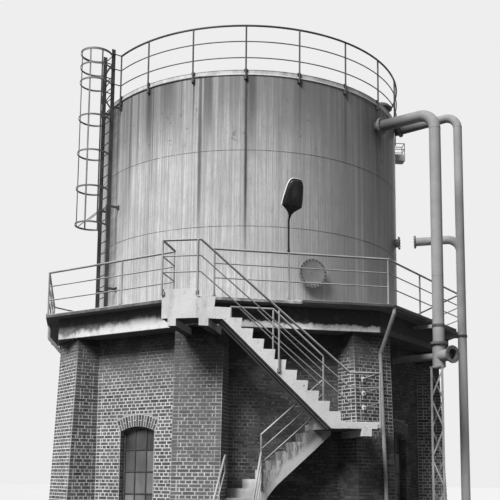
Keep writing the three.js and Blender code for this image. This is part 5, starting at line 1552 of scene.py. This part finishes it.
def make_outer_rails():
    """Rails from the gallery round the top landing, down the upper flight and along the middle landing."""
    build = Build()
    y = STAIR_OUT - RAIL_OFF
    u = LANDING_LEFT + 0.008
    slope_x, kink_x, end_x = SLAB_CORNER_X + 0.075, UPPER_END + 0.175, MID_RIGHT - 0.012
    highs = [SLAB_TOP + h for h in GALLERY_RAILS]
    lows = [MID_TOP + h for h in MID_RAILS]

    def left(z):
        return polar(LANDING_AZ, LANDING_FRONT + RAIL_OFF, u, z)

    for high, low, radius in zip(highs, lows, RAIL_SIZES):
        back = polar(LANDING_AZ, (RAIL_LINE + LANDING_LEFT * SIN_C) / COS_C + 0.04, u, high)
        wall = Vector((end_x, (end_x * SIN_C - pier_front(low)) / COS_C - 0.012, low))
        route = [back, left(high), (slope_x, y, high), (kink_x, y, low), (end_x, y, low), wall]
        build.sweep(rounded(route, 0.035, 5), radius)
        build.turned([(0, -0.02), (0.03, -0.018), (0.05, -0.006), (0.055, 0.012), (0, 0.012)], 14,
                     pointing(wall, (0, -1, 0)), 1)
    middle, corner = -0.468, SLAB_CORNER_X + 0.015
    level = highs[2] + (lows[2] - highs[2]) * (middle - slope_x) / (kink_x - slope_x)
    build.rod(left(SLAB_TOP - POST_DOWN), left(highs[2]), POST)
    for x, foot, head in ((corner, SLAB_TOP - POST_DOWN, highs[2]), (middle, level - 1.28, level),
                          (end_x, MID_BOTTOM + 0.02, lows[2])):
        build.rod((x, y, foot), (x, y, head), POST)
    for x, z in ((corner, SLAB_TOP - 0.1), (middle, level - 1.25), (end_x - 0.024, MID_BOTTOM + 0.05)):
        foot_plate(build, (x - 0.035, y - 0.002, z - 0.03), (x + 0.035, STAIR_OUT - SEAT, z + 0.05), -1)
    build.block(LANDING_AZ, (LANDING_FRONT + SEAT, LANDING_FRONT + RAIL_OFF),
                (LANDING_LEFT + 0.002, LANDING_LEFT + 0.06), (SLAB_TOP - POST_DOWN, SLAB_TOP - 0.05))
    build.piece("stair_rails_outer", ("rail", "mortar_dab"), "rail_steel", "stair_railing_outer")


def make_inner_rails():
    """Rails on the upper flight's inner side."""
    build = Build()
    y = STAIR_IN + RAIL_OFF
    top, first, bend, end = 5.105, -1.36, -0.444, 0.642
    for i, radius in enumerate(RAIL_SIZES):
        start = bend - 0.33 * (2 - i) / UPPER_SLOPE
        route = [Vector((start, y, top)), Vector((end, y, top - UPPER_SLOPE * (end - start)))]
        if radius == TOP_RAIL:
            route = rounded([(first, y, top), *route], 0.04, 5)
        build.sweep(route, radius)
    for x, depth in ((first + 0.015, 0.42), (bend, 1.25), (end, None)):
        head = top - UPPER_SLOPE * max(0.0, x - bend)
        foot = head - depth if depth else MID_TOP + STAND
        build.rod((x, y, foot), (x, y, head), POST)
        if depth:
            foot_plate(build, (x - 0.03, STAIR_IN + SEAT, foot + 0.01), (x + 0.03, y, foot + 0.08), 1)
    build.piece("stair_rails_inner", ("rail",), "rail_steel", "stair_railing_inner")


def make_lower_rails():
    """Rails on the lower flight, which turn the corner to the pier's own direction."""
    build = Build()
    y = LOWER_OUT - RAIL_OFF
    head_x, bends = 0.69, (1.89, 2.18, 2.48)
    turn_x = PIVOT_X - 0.015
    rise = LOWER_RISE / LOWER_GOING * (head_x - turn_x)
    end_r = -PIVOT_X * SIN_C - LOWER_OUT * COS_C + LOWER_GOING * 5 - 0.06
    pivot_u = PIVOT_X * COS_C - LOWER_OUT * SIN_C

    def foot(z):
        return polar(LANDING_AZ, end_r, pivot_u + RAIL_OFF, z)

    for z, radius in zip(bends, RAIL_SIZES):
        build.rod((turn_x, y, z), (head_x, y, z + rise), radius)
        build.rod((turn_x, y, z - 0.37), foot(z - 1.39), radius)
    tops = (Vector((turn_x, y, bends[2])), Vector((head_x, y, bends[2] + rise)), foot(bends[2] - 1.39))
    feet = (Vector((turn_x, y, bends[0] - 0.53)), Vector((head_x, y, MID_TOP + STAND)), foot(0.0))
    for low, high in zip(feet, tops):
        build.rod(low, high, POST)
        ball(build, high, TOP_RAIL)
    build.piece("stair_rails_lower", ("rail",), "rail_steel", "stair_railing_lower")


# Handrail beside the lowest steps. An end is its r and its height
HANDRAIL_OFF = 0.06
HANDRAIL_TOP = (4.99, 2.05)
HANDRAIL_LOW = (5.99, 1.08)
HANDRAIL_POST = 5.945
HANDRAIL_DROP = 0.33


def make_handrail():
    build = Build()

    def spot(r, z, aside=HANDRAIL_OFF):
        return polar(LANDING_AZ, r, PIER_HALF + aside, z)

    top, low, drop = spot(*HANDRAIL_TOP), spot(*HANDRAIL_LOW), UP * HANDRAIL_DROP
    build.rod(top, low, TOP_RAIL)
    build.rod(top - drop, low - drop, LOW_RAIL)
    build.rod(spot(HANDRAIL_POST, LOWER_RISE), spot(HANDRAIL_POST, 1.124), POST)
    build.rod(top - drop, top, POST)
    ball(build, top, TOP_RAIL)
    ball(build, low, TOP_RAIL)
    for z in (2.0, 1.75):
        build.rod(spot(HANDRAIL_TOP[0], z), spot(HANDRAIL_TOP[0], z, 0.012), 0.012)
    build.piece("handrail_bars", ("rail",), "rail_steel", "stair_handrail")


# Gutter: a folded trough with a rolled lip, and straps across it. Each point is its way out and its height
GUTTER_START = 0.18
GUTTER_END = 1.49
TROUGH = ((0.0005, 5.33), (0.0005, 5.262), (0.018, 5.2555), (0.1, 5.2555), (0.121, 5.268), (0.127, 5.31),
          (0.1235, 5.31), (0.118, 5.27), (0.099, 5.259), (0.018, 5.259), (0.004, 5.264), (0.004, 5.33))
LIP = (0.1232, 5.3165)
LIP_R = 0.0065
STRAPS = {0: (0.5, 1.15, 1.8), 45: (-1.6, -0.95, -0.3, 0.35, 1.0)}


def make_gutter():
    build = Build()

    def stations(out, z):
        """The same point of the section at the gutter's start, its mitre and its end."""
        return [polar(0, SLAB_OUT + out, GUTTER_START, z), polar(CORNER, (SLAB_OUT + out) / COS_C, 0, z),
                polar(FACE_STEP, SLAB_OUT + out, GUTTER_END, z)]

    sections = list(zip(*(stations(out, z) for out, z in TROUGH)))
    build.loft(sections, flip=True)
    build.sweep(stations(*LIP), LIP_R, 10, 1)
    for section, azimuth in ((sections[0], 0), (sections[2], 45)):
        way = polar(azimuth, 0, 0.002)
        build.loft([[p - way for p in section[:6]], [p + way for p in section[:6]]], flip=True)
    for azimuth, places in STRAPS.items():
        for u in places:
            build.block(azimuth, (SLAB_OUT + 0.001, SLAB_OUT + 0.122), around(u, 0.012), (5.3255, 5.3295), 1)
    build.piece("gutter_trough", ("gutter", "downpipe"), "rail_steel", "gutter", 40)


for make in (make_tank, make_roof_railing, make_ladder, make_cage, make_gallery_railings, make_risers,
             make_low_nozzle, make_tee, make_brackets, make_mast, make_manhole, make_gauge, make_roof,
             make_lamp, make_downpipes, make_outer_rails, make_inner_rails, make_lower_rails, make_handrail,
             make_gutter):
    make()
for number, face_name in enumerate(FACES):
    if number % 2:
        make_window(face_name, FACE_STEP * number)


# Light and ground
SKY_SEEN = 0.855
FILL_ABOVE = 0.3
FILL_BELOW = 0.09
# Soft suns: name, azimuth, height, power and angle
SUNS = (("key", -48.0, 44.0, 5.4, 24.0), ("back", 158.0, 36.0, 2.4, 50.0))


def make_world():
    """A pale surround for the camera, and a fill light that is stronger from above."""
    world = bpy.data.worlds.new("world")
    world.use_nodes = True
    tree = world.node_tree
    tree.nodes.clear()

    def node(kind, *inputs):
        made = tree.nodes.new(kind)
        for socket, value in zip(made.inputs, inputs):
            if isinstance(value, bpy.types.NodeSocket):
                tree.links.new(value, socket)
            else:
                socket.default_value = value
        return made

    split = node("ShaderNodeSeparateXYZ", node("ShaderNodeTexCoord").outputs["Generated"])
    rise = node("ShaderNodeMapRange", split.outputs[2], -0.1, 0.1, FILL_BELOW, FILL_ABOVE)
    seen = node("ShaderNodeBackground", grey(1.0), SKY_SEEN)
    lit = node("ShaderNodeBackground", grey(1.0), rise.outputs[0])
    path = node("ShaderNodeLightPath").outputs["Is Camera Ray"]
    pick = node("ShaderNodeMixShader", path, lit.outputs[0], seen.outputs[0])
    node("ShaderNodeOutputWorld", pick.outputs[0])
    bpy.context.scene.world = world


def make_lights():
    for name, azimuth, height, power, angle in SUNS:
        data = bpy.data.lights.new(name, "SUN")
        data.energy = power
        data.angle = math.radians(angle)
        sun = bpy.data.objects.new(name, data)
        bpy.context.collection.objects.link(sun)
        rise = math.radians(height)
        sun.rotation_mode = "QUATERNION"
        sun.rotation_quaternion = polar(azimuth, math.cos(rise), 0, math.sin(rise)).to_track_quat("Z", "Y")


def make_floor():
    finish = Finish("ground", 0.9, 0.1)
    finish.base = finish.mix(0.0, 0.44, 0.44)
    floor = Build()
    floor.turned([(0, -0.002), (150.0, -0.002), (150.0, -0.2), (0, -0.2)], 64)
    mesh = bpy.data.meshes.new("ground")
    mesh.from_pydata(floor.points, [], floor.faces)
    mesh.materials.append(finish.done())
    ground = bpy.data.objects.new("ground", mesh)
    bpy.context.collection.objects.link(ground)
    ground.visible_diffuse = False


make_world()
make_lights()
make_floor()
bpy.context.scene.view_settings.view_transform = "Standard"

# Plain nodes take their finish from the record's slots
SLOT_FINISH = {"rail_steel": "rail", "dark_steel": "dark", "pipe_paint": "pipe", "tank_steel": "tank",
               "window_paint": "frame", "concrete": "slab", "pale_concrete": "pale", "brick": "wall_core"}
for row in frame["record"]["subparts"]:
    NODES[row["node"]].material_slots[0].material = MATERIALS[SLOT_FINISH[row["material_slot"]]]
